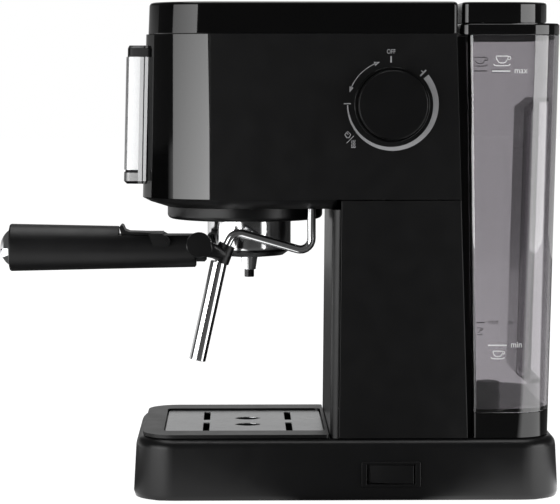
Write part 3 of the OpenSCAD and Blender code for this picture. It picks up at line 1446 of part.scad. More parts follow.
function lid_ring(z, inset) = at_height(outline(tank_w / 2 - inset, lid_y0 + inset,
    lid_y1 - inset, 5 - inset / 2, lid_rear_r - inset, 9), z);
module tank_lid() {
    slot_w = ear_w + 1;
    color("#0c0c0d") {
        difference() {
            skin([lid_ring(lid_z, 0), lid_ring(lid_top_z - 1.6, 0), lid_ring(lid_top_z - 0.5, 0.5),
                lid_ring(lid_top_z, 1.8)]);
            intersection() {
                skin([lid_ring(lid_z - 1, shell_wall), lid_ring(lid_top_z - shell_wall, shell_wall)]);
                translate([-100, lid_y0, 0]) cube([200, lid_l - 8, 999]);
            }
            for (x = [-hinge_x, hinge_x]) translate([x - slot_w / 2, hinge_y - 3.6, lid_z - 1])
                cube([slot_w, 9, lid_h + 3]);
            difference() {
                translate([-100, hinge_y, lid_z - 1]) cube([200, 9, hinge_r + 1]);
                x_rod(-101, 101, hinge_y, hinge_z, hinge_r);
            }
        }
        for (x = [-hinge_x, hinge_x])
            x_rod(x - slot_w / 2 - 0.01, x + slot_w / 2 + 0.01, hinge_y, hinge_z, hinge_pin_r);
        // skirt that keeps the lid square over the rim's opening
        difference() {
            translate([0, 0, lid_z - 3]) round_plate(tank_w - 18, lid_y0 + 9, hinge_y - 8, 8,
                3 + shell_wall);
            translate([0, 0, lid_z - 4]) round_plate(tank_w - 21, lid_y0 + 10.5, hinge_y - 9.5, 7, 20);
        }
        for (x = [-1, 1]) translate([x * (tank_w / 2 - 9.75) - 0.75, lid_y0 + 18, lid_z])
            cube([1.5, 28, lid_h - shell_wall + 0.1]);
    }
}

base_shell();
base_plate();
rubber_feet();
base_screws();
cord_gland();
switch_bezel();
power_rocker();
column_front_cover();
column_side_right();
column_side_left();
rear_cover();
head_side_right();
head_side_left();
head_bezel();
head_bottom_cover();
top_cover();
cup_warmer_plate();
control_panel();
panel_trim();
indicator_window();
power_button();
coffee_button();
steam_button();
indicator_lights();
button_board();
control_board();
inner_chassis();
thermoblock();
thermostats();
group_head();
group_gasket();
shower_screen();
vibration_pump();
pump_mounts();
pump_hose();
steam_valve_body();
valve_spindle();
valve_needle();
steam_pipe();
tank_socket();
socket_seal();
steam_knob();
knob_trim_ring();
wand_tube();
wand_grip();
frother_sleeve();
portafilter_cup();
filter_basket();
spout();
portafilter_handle();
handle_end_cap();
retainer_clip();
tank_shell();
tank_foot();
tank_rim();
tank_lid();
tank_valve();
valve_spring();
drip_tray();
drip_grid();
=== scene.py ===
"""Looks of the espresso machine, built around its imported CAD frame. Lengths are in metres."""
import json
import math

import bmesh
import bpy
from mathutils import Matrix, Vector


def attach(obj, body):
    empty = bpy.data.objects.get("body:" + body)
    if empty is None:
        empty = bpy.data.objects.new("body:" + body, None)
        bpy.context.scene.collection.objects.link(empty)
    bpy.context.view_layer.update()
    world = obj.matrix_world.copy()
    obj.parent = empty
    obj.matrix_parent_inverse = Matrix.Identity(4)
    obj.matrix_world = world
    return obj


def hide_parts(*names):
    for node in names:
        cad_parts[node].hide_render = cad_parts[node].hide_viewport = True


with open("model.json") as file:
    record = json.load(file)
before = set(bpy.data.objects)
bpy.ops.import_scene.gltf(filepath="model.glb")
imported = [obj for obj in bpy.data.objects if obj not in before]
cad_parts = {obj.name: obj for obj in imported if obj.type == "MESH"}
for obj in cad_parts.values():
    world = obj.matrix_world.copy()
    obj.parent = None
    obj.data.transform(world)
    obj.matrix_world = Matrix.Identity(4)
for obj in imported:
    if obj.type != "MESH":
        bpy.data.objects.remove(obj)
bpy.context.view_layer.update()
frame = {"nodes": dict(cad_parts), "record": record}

MM = 0.001
KNOB_CENTRE = (27.3, 249.0)     # (y, z) of the steam knob's axis, in mm
HEAD_SIDE_X = 70.0              # the flat side round the knob, in mm
REFLECTION_BAND_FOOT, REFLECTION_BAND_SPAN = 198, 10  # the heights over which painted reflection bands lie on the panel's steel, in mm
scene = bpy.context.scene
nodes = frame["nodes"]
body_of_node = {n: body for body, members in frame["record"]["behaviour"]["bodies"].items()
                for n in members}


# ---------------------------------------------------------------- materials
def new_material(name):
    """A node material, its tree, its Principled shader and its object coordinates."""
    material = bpy.data.materials.new(name)
    material.use_nodes = True
    tree = material.node_tree
    shader = tree.nodes["Principled BSDF"]
    coords = tree.nodes.new("ShaderNodeTexCoord").outputs["Object"]
    return material, tree, shader, coords


def noise(tree, coords, size, detail=4.0, stretch=(1, 1, 1)):
    """Noise whose grains are about `size` metres across, drawn out along the axes in stretch."""
    mapping = tree.nodes.new("ShaderNodeMapping")
    mapping.inputs["Scale"].default_value = [1 / s for s in stretch]
    texture = tree.nodes.new("ShaderNodeTexNoise")
    texture.inputs["Scale"].default_value = 1 / size
    texture.inputs["Detail"].default_value = detail
    tree.links.new(coords, mapping.inputs["Vector"])
    tree.links.new(mapping.outputs["Vector"], texture.inputs["Vector"])
    return texture.outputs["Fac"]


def spread(tree, value, low, high, start=0.3, end=0.7):
    """Maps a value between start and end, such as a noise, to one between low and high."""
    node = tree.nodes.new("ShaderNodeMapRange")
    node.inputs["From Min"].default_value = start
    node.inputs["From Max"].default_value = end
    node.inputs["To Min"].default_value = low
    node.inputs["To Max"].default_value = high
    tree.links.new(value, node.inputs["Value"])
    return node.outputs["Result"]


def maths(tree, operation, *values, clamp=False):
    """The result of a Math node; each value is a number, or a socket to link."""
    node = tree.nodes.new("ShaderNodeMath")
    node.operation = operation
    node.use_clamp = clamp
    for slot, value in zip(node.inputs, values):
        if isinstance(value, (int, float)):
            slot.default_value = value
        else:
            tree.links.new(value, slot)
    return node.outputs["Value"]


def axes(tree):
    """The object coordinates' X, Y and Z sockets."""
    split = tree.nodes.new("ShaderNodeSeparateXYZ")
    tree.links.new(tree.nodes.new("ShaderNodeTexCoord").outputs["Object"], split.inputs[0])
    return split.outputs


def add_bump(tree, shader, height, depth, strength=1.0):
    """A bump of `depth` metres from a height value."""
    node = tree.nodes.new("ShaderNodeBump")
    node.inputs["Strength"].default_value = strength
    node.inputs["Distance"].default_value = depth
    tree.links.new(height, node.inputs["Height"])
    tree.links.new(node.outputs["Normal"], shader.inputs["Normal"])


def vary_colour(tree, shader, coords, dark, light, size):
    """Large, faint patches between two close colours."""
    ramp = tree.nodes.new("ShaderNodeValToRGB")
    ramp.color_ramp.elements[0].position = 0.35
    ramp.color_ramp.elements[1].position = 0.65
    ramp.color_ramp.elements[0].color = (*dark, 1)
    ramp.color_ramp.elements[1].color = (*light, 1)
    tree.links.new(noise(tree, coords, size, 2.0), ramp.inputs["Fac"])
    tree.links.new(ramp.outputs["Color"], shader.inputs["Base Color"])


def moulded(name, grey, roughness, specular=0.5, grain=0.5 * MM, depth=0.012 * MM):
    """Moulded plastic or rubber: fine grain, faint patches of colour and of roughness."""
    material, tree, shader, coords = new_material(name)
    dark = [c * 0.88 for c in grey]
    vary_colour(tree, shader, coords, dark, grey, 30 * MM)
    shader.inputs["Specular IOR Level"].default_value = specular
    patches = noise(tree, coords, 12 * MM, 3.0)
    tree.links.new(spread(tree, patches, roughness * 0.93, roughness * 1.07),
                   shader.inputs["Roughness"])
    add_bump(tree, shader, noise(tree, coords, grain, 2.0), depth)
    return material


def metal(name, colour, roughness, grain=0.4 * MM, depth=0.002 * MM, stretch=(1, 1, 1)):
    """Metal with a fine surface; stretch draws the grain out into brush lines."""
    material, tree, shader, coords = new_material(name)
    vary_colour(tree, shader, coords, [c * 0.95 for c in colour], colour, 25 * MM)
    shader.inputs["Metallic"].default_value = 1.0
    lines = noise(tree, coords, grain, 3.0, stretch)
    tree.links.new(spread(tree, lines, roughness * 0.8, roughness * 1.25),
                   shader.inputs["Roughness"])
    add_bump(tree, shader, lines, depth)
    return material


def painted_reflection_bands(material, plain, reflection_bands, plain_from=207.3):
    """Gives the material other base colours between heights, as painted reflection: dark and
    light strips in place of what a rounded steel edge mirrors. reflection_bands is (from z,
    colour) in mm, upwards from REFLECTION_BAND_FOOT, and `plain` above them."""
    tree = material.node_tree
    shader = tree.nodes["Principled BSDF"]
    ramp = tree.nodes.new("ShaderNodeValToRGB")
    ramp.color_ramp.interpolation = "CONSTANT"
    tree.links.new(spread(tree, axes(tree)["Z"], 0.0, 1.0, REFLECTION_BAND_FOOT * MM,
                          (REFLECTION_BAND_FOOT + REFLECTION_BAND_SPAN) * MM), ramp.inputs["Fac"])
    stops = ramp.color_ramp.elements
    levels = reflection_bands + [(plain_from, plain)]
    stops[1].position = (levels[1][0] - REFLECTION_BAND_FOOT) / REFLECTION_BAND_SPAN
    for height, _ in levels[2:]:
        stops.new((height - REFLECTION_BAND_FOOT) / REFLECTION_BAND_SPAN)
    for stop, (_, colour) in zip(stops, levels):
        stop.color = (*colour, 1)
    tree.links.new(ramp.outputs["Color"], shader.inputs["Base Color"])


def paint_gap_shade(material, plain, slope, offset, half):
    """A painted shade line of half-width `half` along y = slope * z + offset, in mm: the dark of
    the joint's gap between the trim and the control panel, painted into the trim's base colour.
    """
    tree = material.node_tree
    at = axes(tree)
    lean = maths(tree, "MULTIPLY_ADD", at["Z"], -slope, at["Y"])
    near = maths(tree, "COMPARE", lean, offset * MM, half * MM)
    ramp = tree.nodes.new("ShaderNodeValToRGB")
    ramp.color_ramp.elements[0].color = (*plain, 1)
    ramp.color_ramp.elements[1].color = (0.01, 0.01, 0.01, 1)
    tree.links.new(near, ramp.inputs["Fac"])
    tree.links.new(ramp.outputs["Color"], tree.nodes["Principled BSDF"].inputs["Base Color"])


def smoke_plastic(name, tint, roughness):
    """Clear plastic with a smoke tint, and the faint waviness of a moulded wall."""
    material, tree, shader, coords = new_material(name)
    shader.inputs["Transmission Weight"].default_value = 1.0
    shader.inputs["Coat Weight"].default_value = 0.8
    shader.inputs["Coat Roughness"].default_value = 0.03
    shader.inputs["IOR"].default_value = 1.49
    shader.inputs["Base Color"].default_value = (*tint, 1)
    patches = noise(tree, coords, 18 * MM, 2.0)
    tree.links.new(spread(tree, patches, roughness * 0.5, roughness), shader.inputs["Roughness"])
    add_bump(tree, shader, patches, 0.02 * MM, 0.5)
    return material


def lamp_lens(name, colour, strength):
    """A small diffuser that glows faintly."""
    material, tree, shader, coords = new_material(name)
    vary_colour(tree, shader, coords, [c * 0.9 for c in colour], colour, 1 * MM)
    shader.inputs["Roughness"].default_value = 0.2
    shader.inputs["Emission Color"].default_value = (*colour, 1)
    shader.inputs["Emission Strength"].default_value = strength
    return material


def grey(value):
    """A near-black plastic's colour, a touch blue."""
    return (value, value, value * 1.06)


MATTE = moulded("matte_black", grey(0.0036), 0.42, 0.25)
SATIN = moulded("satin_black", grey(0.0045), 0.33, 0.3)
HANDLE = moulded("handle_black", grey(0.0045), 0.42, 0.26, 0.35 * MM, 0.02 * MM)
GLOSS = moulded("gloss_black", grey(0.0016), 0.05, 0.5, 6 * MM, 0.001 * MM)
COVER = moulded("cover_black", grey(0.0016), 0.06, 0.36, 6 * MM, 0.001 * MM)
RUBBER = moulded("rubber", grey(0.012), 0.75, 0.3)
CHROME = metal("chrome", (0.8, 0.805, 0.81), 0.1, 8 * MM, 0.001 * MM)
PANEL_STEEL = (0.36, 0.362, 0.365)
PANEL = metal("panel_steel", PANEL_STEEL, 0.3, 0.2 * MM, 0.002 * MM, (20, 1, 1))
# Painted reflection: dark, light and dark bands of base colour across the panel's rounded lower
# edge, for the strips which that steel edge mirrors.
painted_reflection_bands(PANEL, PANEL_STEEL,
       [(198, grey(0.01)), (200.2, (0.15, 0.15, 0.15)), (205.5, grey(0.01))])
TRIM_STEEL = (0.24, 0.241, 0.243)
TRIM = metal("trim_steel", TRIM_STEEL, 0.3, 0.2 * MM, 0.002 * MM, (20, 1, 1))
# Painted shade: a dark line on the trim's steel where the gap to the control panel lies.
paint_gap_shade(TRIM, TRIM_STEEL, 0.022, -133.6, 0.35)
WINDOW = moulded("window_black", grey(0.0035), 0.12, 0.14, 6 * MM, 0.001 * MM)
KNOB = moulded("knob_black", grey(0.004), 0.3, 0.3)
KNOB_EDGE = moulded("knob_edge_gloss", grey(0.004), 0.12, 1.0)
STEEL = metal("brushed_steel", (0.58, 0.585, 0.59), 0.3, 0.25 * MM, 0.004 * MM, (1, 30, 1))
WARMER = metal("warmer_steel", (0.5, 0.505, 0.51), 0.32, 0.25 * MM, 0.004 * MM, (1, 30, 1))
ALUMINIUM = metal("cast_aluminium", (0.6, 0.61, 0.62), 0.42, 0.8 * MM, 0.03 * MM)
BRASS = metal("brass", (0.62, 0.45, 0.17), 0.28)
SMOKE = smoke_plastic("smoke_clear", (0.525, 0.507, 0.528), 0.03)
BOARD = moulded("board_green", (0.03, 0.13, 0.05), 0.35)
SILICONE = moulded("silicone", (0.5, 0.49, 0.46), 0.4)
LENS = lamp_lens("light_lens", (0.7, 0.75, 0.72), 0.15)
BUTTON = metal("button_metal", (0.72, 0.725, 0.73), 0.22, 3 * MM, 0.001 * MM)
PRINT = moulded("print_grey", (0.36, 0.36, 0.37), 0.5)
PRINT_BRIGHT = moulded("print_white", (0.85, 0.85, 0.86), 0.5)
# Black for the spout's real tip, and also for the painted reflection on the cup's underside.
TIP_AND_REFLECTION_BLACK = moulded("spout_tip_and_painted_reflection_black", grey(0.004), 0.25, 0.4)

FINISH = {
    MATTE: ("column_side_right column_side_left rear_cover head_side_right head_side_left"
            " base_plate cord_gland tank_socket tank_valve"),
    SATIN: ("base_shell switch_bezel power_rocker drip_tray column_front_cover"
            " head_bottom_cover wand_grip"),
    HANDLE: "portafilter_handle retainer_clip",
    GLOSS: "head_bezel tank_foot tank_rim tank_lid knob_trim_ring",
    WINDOW: "indicator_window",
    KNOB: "steam_knob",
    COVER: "top_cover",
    RUBBER: "rubber_feet group_gasket pump_mounts socket_seal",
    PANEL: "control_panel",
    TRIM: "panel_trim",
    CHROME: ("wand_tube frother_sleeve portafilter_cup"
             " spout handle_end_cap valve_needle"),
    STEEL: ("drip_grid base_screws inner_chassis shower_screen filter_basket valve_spring"
            " vibration_pump"),
    WARMER: "cup_warmer_plate",
    ALUMINIUM: "thermoblock group_head thermostats",
    BRASS: "steam_valve_body valve_spindle",
    SMOKE: "tank_shell",
    BOARD: "button_board control_board",
    SILICONE: "pump_hose steam_pipe",
    LENS: "indicator_lights",
    BUTTON: "power_button coffee_button steam_button",
}
finish_of = {n: material for material, names in FINISH.items() for n in names.split()}


# ---------------------------------------------------------------- pieces
def link(obj):
    scene.collection.objects.link(obj)
    return obj


def set_material(obj, material):
    obj.data.materials.clear()
    obj.data.materials.append(material)


def smooth_step(value, start, end):
    """0 up to start, 1 from end on, and an eased rise between."""
    share = min(max((value - start) / (end - start), 0.0), 1.0)
    return share * share * (3 - 2 * share)


def quarter_x(y, corner_y, length, width):
    """How far out a corner quarter ellipse has come at y, from 0 at its tip to width."""
    rest = min(max((corner_y - y) / length, 0.0), 1.0)
    return width * math.sqrt(1 - rest * rest)


def fuller_bezel(co):
    """The bezel's corners, drawn out so that their rear ends stay put while the front leans."""
    x, y, z = abs(co.x) / MM, co.y / MM, co.z / MM
    low = (293.0 - z) / 103.2
    if x < 37 or y > -86.0:
        return co
    old = 70.65 - 41.6 + quarter_x(y, -75.8 - 2.6 * low, 51.0, 41.6)
    length, width = 56.0 + 3.0 * low, 44.0 + 4.2 * low
    new = 70.1 - 0.963 * width + quarter_x(y, -70.8 + 0.4 * low, length, width)
    moved = x + (new - old) * smooth_step(x, 37.0, 50.0)
    return Vector((math.copysign(moved * MM, co.x), co.y, co.z))


def fuller_knob(co):
    """The knob with its face drawn out to a small edge radius."""
    centre_y, centre_z = KNOB_CENTRE[0] * MM, KNOB_CENTRE[1] * MM
    y, z = co.y - centre_y, co.z - centre_z
    radius = math.hypot(y, z)
    if co.x < 83.5 * MM or radius < 19.5 * MM:
        return co
    grow = 21.2 * MM / radius
    return Vector((co.x, centre_y + y * grow, centre_z + z * grow))


def sharper_tank(co):
    """The tank's front corners at radius 4 mm in place of 8, and further forward low down."""
    x, y, z = abs(co.x) / MM, co.y / MM, co.z / MM
    front = 82.7 - 8.3 * (z - 39.5) / 253.5
    out, ahead = x - 61.0, front + 8.0 - y
    radius = math.hypot(out, ahead)
    if out <= 0 or ahead <= 0 or radius < 4.5:
        return co
    share = (radius - 4.0) / radius
    forward = 8.1 - 0.01724 * (z - 39.5) - 0.0155 * 252.5
    return Vector((math.copysign((65.0 + out * share) * MM, co.x),
                   (front - forward + 4.0 - ahead * share) * MM, co.z))


def dress(name, bevel=0.4 * MM, segments=2, angle=30.0):
    """A copy of a CAD node with rounded edges and smooth shading, in place of the node."""
    mesh = nodes[name].data.copy()
    mesh.name = name + "_shape"
    bm = bmesh.new()
    bm.from_mesh(mesh)
    if name in RESHAPE:
        for vert in bm.verts:
            vert.co = RESHAPE[name](vert.co)
    bmesh.ops.remove_doubles(bm, verts=bm.verts, dist=0.004 * MM)
    bmesh.ops.dissolve_degenerate(bm, dist=0.004 * MM, edges=bm.edges)
    bmesh.ops.dissolve_limit(bm, angle_limit=math.radians(0.4), verts=bm.verts, edges=bm.edges)
    bm.to_mesh(mesh)
    bm.free()
    piece = link(bpy.data.objects.new(name + "_look", mesh))
    for polygon in mesh.polygons:
        polygon.use_smooth = True
    if bevel:
        edge = piece.modifiers.new("edges", "BEVEL")
        edge.width = bevel
        edge.segments = segments
        edge.limit_method = "ANGLE"
        edge.angle_limit = math.radians(angle)
        edge.use_clamp_overlap = True
        edge.harden_normals = False
    shading = piece.modifiers.new("shading", "WEIGHTED_NORMAL")
    shading.mode = "FACE_AREA"
    shading.weight = 100
    shading.keep_sharp = True
    set_material(piece, finish_of[name])
    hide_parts(name)
    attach(piece, body_of_node[name])
    return piece


RESHAPE = {"head_bezel": fuller_bezel, "steam_knob": fuller_knob, "tank_shell": sharper_tank,
           "tank_foot": sharper_tank}


def paint(piece, material, test):
    """Gives the faces whose centre and normal pass the test a second material."""
    piece.data.materials.append(material)
    for polygon in piece.data.polygons:
        if test(polygon.center / MM, polygon.normal):
            polygon.material_index = len(piece.data.materials) - 1


for cad_name in nodes:
    set_material(nodes[cad_name], finish_of[cad_name])

BEVEL = {
    "base_shell": 0.5, "drip_tray": 0.6, "drip_grid": 0.2, "column_side_right": 0.6,
    "column_side_left": 0.6, "head_side_right": 0.5, "head_side_left": 0.5, "rear_cover": 0.5,
    "column_front_cover": 0.5, "head_bottom_cover": 0.5, "head_bezel": 0.5, "top_cover": 0.5,
    "cup_warmer_plate": 0.3, "control_panel": 0.4, "panel_trim": 0.4, "steam_knob": 0.5,
    "knob_trim_ring": 0.2, "portafilter_handle": 0.5, "retainer_clip": 0.3, "wand_grip": 0.4,
    "tank_foot": 0.5, "tank_rim": 0.6, "tank_lid": 0.6, "tank_shell": 0.5,
    "portafilter_cup": 0.3, "spout": 0.2, "handle_end_cap": 0.3, "frother_sleeve": 0.3,
    "switch_bezel": 0.3, "power_rocker": 0.3, "wand_tube": 0,
}
pieces = {n: dress(n, width * MM) for n, width in BEVEL.items()}
paint(pieces["steam_knob"], KNOB_EDGE,
      lambda at, normal: at.x > 81.5 and 0.1 < normal.x < 0.95)
paint(pieces["spout"], TIP_AND_REFLECTION_BLACK, lambda at, normal: at.z < 140.2)
# Painted reflection: the chrome cup's downward faces get the black tip finish, for the dark that
# they mirror from beneath the head.
paint(pieces["portafilter_cup"], TIP_AND_REFLECTION_BLACK, lambda at, normal: at.z < 154.5 and normal.z < -0.2)


# ---------------------------------------------------------------- prints
PRINT_LIFT = 0.03 * MM


def arc(radius, start, end, steps=24, centre=KNOB_CENTRE):
    """Points (y, z) in mm on an arc about the knob; angles are from +Y towards +Z, in degrees.
    radius is one number, or one for each end."""
    ends = radius if isinstance(radius, tuple) else (radius, radius)
    points = []
    for i in range(steps + 1):
        share = i / steps
        angle = math.radians(start + (end - start) * share)
        r = ends[0] + (ends[1] - ends[0]) * share
        points.append((centre[0] + r * math.cos(angle), centre[1] + r * math.sin(angle)))
    return points


def about_knob(points):
    """Points (y, z) in mm from the knob's axis, as points on the side."""
    return [(KNOB_CENTRE[0] + y, KNOB_CENTRE[1] + z) for y, z in points]


def ribbon(bm, points, widths, face_x, side=1):
    """A thin printed stroke along the points (y, z), on the surface X = face_x(y, z), in mm."""
    count = len(points)
    if not isinstance(widths, (list, tuple)):
        widths = (widths, widths)
    rings = []
    for i, (y, z) in enumerate(points):
        before, after = points[max(i - 1, 0)], points[min(i + 1, count - 1)]
        along = Vector((after[0] - before[0], after[1] - before[1])).normalized()
        share = i / (count - 1)
        half = (widths[0] + (widths[1] - widths[0]) * share) / 2
        ring = []
        for sign, lift in ((-1, 0.0), (1, 0.0), (1, 1.0), (-1, 1.0)):
            py, pz = y - sign * along.y * half, z + sign * along.x * half
            px = face_x(py, pz) * MM + lift * PRINT_LIFT
            ring.append(bm.verts.new((side * px, py * MM, pz * MM)))
        rings.append(ring)
    for first, second in zip(rings, rings[1:]):
        for k in range(4):
            bm.faces.new((first[k], first[(k + 1) % 4], second[(k + 1) % 4], second[k]))
    bm.faces.new(rings[0][::-1])
    bm.faces.new(rings[-1])


def outline_stroke(points):
    """The points again with the first one last, for a closed stroke."""
    return points + [points[0]]


def letters(text, size, centre_y, base_z, face_x, bm, side=1, narrow=0.9):
    """Plain lettering in the built-in face, laid on the surface as thin raised print."""
    curve = bpy.data.curves.new("lettering", "FONT")
    curve.body = text
    curve.size = size
    curve.align_x = "CENTER"
    curve.resolution_u = 3
    curve.offset = 0.002 * size
    obj = link(bpy.data.objects.new("lettering", curve))
    bpy.context.view_layer.update()
    flat = bpy.data.meshes.new_from_object(obj.evaluated_get(
        bpy.context.evaluated_depsgraph_get()))
    bpy.data.objects.remove(obj)
    bpy.data.curves.remove(curve)
    part = bmesh.new()
    part.from_mesh(flat)
    bmesh.ops.remove_doubles(part, verts=part.verts, dist=1e-5)
    layers = []
    for lift in (PRINT_LIFT, 0.0):
        layer = []
        for vert in part.verts:
            y, z = centre_y + side * narrow * vert.co.x, base_z + vert.co.y
            layer.append(bm.verts.new((side * (face_x(y, z) * MM + lift), y * MM, z * MM)))
        layers.append(layer)
    for face in part.faces:
        ids = [v.index for v in face.verts]
        bm.faces.new([layers[0][i] for i in ids])
        bm.faces.new([layers[1][i] for i in ids[::-1]])
    for edge in part.edges:
        if len(edge.link_faces) == 1:
            a, b = (v.index for v in edge.verts)
            bm.faces.new((layers[0][a], layers[0][b], layers[1][b], layers[1][a]))
    part.free()
    bpy.data.meshes.remove(flat)


def print_piece(name, bm, material, node):
    """Makes the print a piece that rides on the node's body."""
    bmesh.ops.recalc_face_normals(bm, faces=bm.faces)
    mesh = bpy.data.meshes.new(name)
    bm.to_mesh(mesh)
    bm.free()
    piece = link(bpy.data.objects.new(name, mesh))
    set_material(piece, material)
    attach(piece, body_of_node[node])


def knob_scale():
    """OFF, the two arrows and the widening steam band around the steam knob."""
    bm = bmesh.new()

    def face(y, z):
        return HEAD_SIDE_X

    def polar(radius, angle):
        return arc(radius, angle, angle, 1)[0]

    letters("OFF", 4.0, 26.6, 280.6, face, bm, 1, 0.78)
    ribbon(bm, [(26.6, 275.1), (26.6, 279.1)], 0.9, face)
    ribbon(bm, arc(27.5, 110, 160, 20), 0.45, face)
    for tip, back in ((106.5, 113.5), (163.5, 156.5)):
        ribbon(bm, [polar(27.5, back), polar(27.5, (tip + back) / 2), polar(27.5, tip)],
               (2.6, 0.15), face)
    ribbon(bm, [(-2.7, 249.6), (1.7, 249.6)], 0.6, face)
    ribbon(bm, arc((27.65, 27.45), 180.5, 270, 30), (0.7, 2.4), face)
    ribbon(bm, arc((27.45, 27.3), 270, 399.5, 40), (2.4, 3.9), face)
    ribbon(bm, [polar(24.9, 45.5), polar(30.1, 45.5)], 0.9, face)
    ribbon(bm, arc(27.8, 45.5, 49.5, 3), 0.6, face)
    cup = [(-29.4, -18.6), (-27.5, -16.7), (-25.7, -18.4), (-26.6, -20.4), (-28.0, -20.6)]
    ribbon(bm, outline_stroke(about_knob(cup)), 0.55, face)
    ribbon(bm, about_knob([(-28.6, -17.0), (-27.2, -18.6)]), 0.5, face)
    ribbon(bm, about_knob([(-23.7, -19.4), (-28.2, -23.9)]), 0.4, face)
    for step in range(3):
        y = -25.0 + 0.95 * step
        wave = [(y + 0.25 * math.sin(k * 1.9), -22.0 - 0.55 * k) for k in range(9)]
        ribbon(bm, about_knob(wave), 0.38, face)
    ribbon(bm, about_knob([(-25.4, -26.6), (-22.7, -26.6)]), 0.4, face)
    print_piece("knob_scale_print", bm, PRINT, "head_side_right")


def tank_side(y, z):
    """The tank's outer half-width in mm at (y, z): flat, then the rear corner of radius 24."""
    back = 75.8 - 8.3 * (z - 39.5) / 253.5 + 6.9 + 46.0 + 13.8 * (z - 39.8) / 252.6
    beyond = max(y - (back - 24.0), 0.0)
    return 45.0 + math.sqrt(max(24.0 ** 2 - beyond ** 2, 0.0)) + 0.02


def tank_marks(side):
    """The max and min water lines with their words and cups, on one side of the tank."""
    bm = bmesh.new()
    for line_y, line_z, word, word_y, cup_y, cup_z in (
            ((89.5, 100.9), 269.8, "max", 107.5, 90.4, 272.9),
            ((88.1, 99.9), 98.3, "min", 106.0, 90.0, 89.6)):
        ribbon(bm, [(line_y[0], line_z), (line_y[1], line_z)], 0.75, tank_side, side)
        letters(word, 5.4, word_y, line_z - 1.3, tank_side, bm, side)
        bowl = [(1.6, 6.2), (9.2, 6.2), (8.9, 4.4), (7.6, 2.5), (6.6, 2.0), (4.2, 2.0),
                (3.2, 2.5), (1.9, 4.4)]
        handle = [(9.1, 5.9), (10.4, 5.8), (10.8, 5.0), (10.3, 4.2), (8.6, 4.0)]
        saucer = [(0.1, 1.3), (0.6, 0.6), (1.8, 0.3), (5.4, 0.2), (8.8, 0.3), (9.9, 0.6),
                  (10.4, 1.3)]
        scale = 1.0 if word == "max" else 0.8
        for stroke in (outline_stroke(bowl), handle, saucer):
            ribbon(bm, [(cup_y + scale * y, cup_z + scale * z) for y, z in stroke], 0.55,
                   tank_side, side)
    print_piece("tank_marks_right" if side > 0 else "tank_marks_left", bm, PRINT_BRIGHT,
                "tank_shell")


knob_scale()
tank_marks(1)
tank_marks(-1)


# ---------------------------------------------------------------- stage
def sheet(name, corners):
    """A flat four-sided piece of the stage."""
    mesh = bpy.data.meshes.new(name)
    mesh.from_pydata(corners, [], [(0, 1, 2, 3)])
    return link(bpy.data.objects.new(name, mesh))


def light_material(name):
    """A material that only glows, with its tree and its Emission node."""
    material = bpy.data.materials.new(name + "_light")
    material.use_nodes = True
    tree = material.node_tree
    tree.nodes.remove(tree.nodes["Principled BSDF"])
    glow = tree.nodes.new("ShaderNodeEmission")
    tree.links.new(glow.outputs["Emission"], tree.nodes["Material Output"].inputs["Surface"])
    return material, tree, glow


def camera_sees(tree, *rays):
    """1 on the rays named, such as the camera's own, and 0 on every other."""
    path = tree.nodes.new("ShaderNodeLightPath")
    value = path.outputs[rays[0]]
    for ray in rays[1:]:
        value = maths(tree, "MAXIMUM", value, path.outputs[ray])
    return value


def plain_view(tree):
    """1 where the camera sees the backdrop, straight or through clear plastic, a quarter of that
    once the ray has bounced off something, and 0 on every other ray."""
    seen = camera_sees(tree, "Is Camera Ray", "Is Transmission Ray")
    path = tree.nodes.new("ShaderNodeLightPath")
    bounces = maths(tree, "ADD", path.outputs["Glossy Depth"], path.outputs["Diffuse Depth"],
                    clamp=True)
    return maths(tree, "MULTIPLY", seen, spread(tree, bounces, 1.0, 0.25, 0.0, 1.0))


def mix_shaders(tree, factor, first, second):
    node = tree.nodes.new("ShaderNodeMixShader")
    tree.links.new(factor, node.inputs["Fac"])
    tree.links.new(first, node.inputs[1])
    tree.links.new(second, node.inputs[2])
    return node.outputs["Shader"]


# What a mirrored ray finds on the floor at the front and at the rear: its strength, and the
# azimuths in degrees between which it rises and then falls.
FLOOR_LIGHTS = ((1.7, (-82, -72), (-30, -20)), (3.0, (30, 40), (84, 90)))
FLOOR_HALF = 8.0     # half the floor's side
FLOOR_GLOW = 1.25    # the floor's strength where the camera sees it
GLOW_SHARE = 0.82    # how much of what the camera sees is that glow; the rest keeps the shadow
MIRROR_SHARE = 0.85  # how much of what a mirrored ray finds is FLOOR_LIGHTS


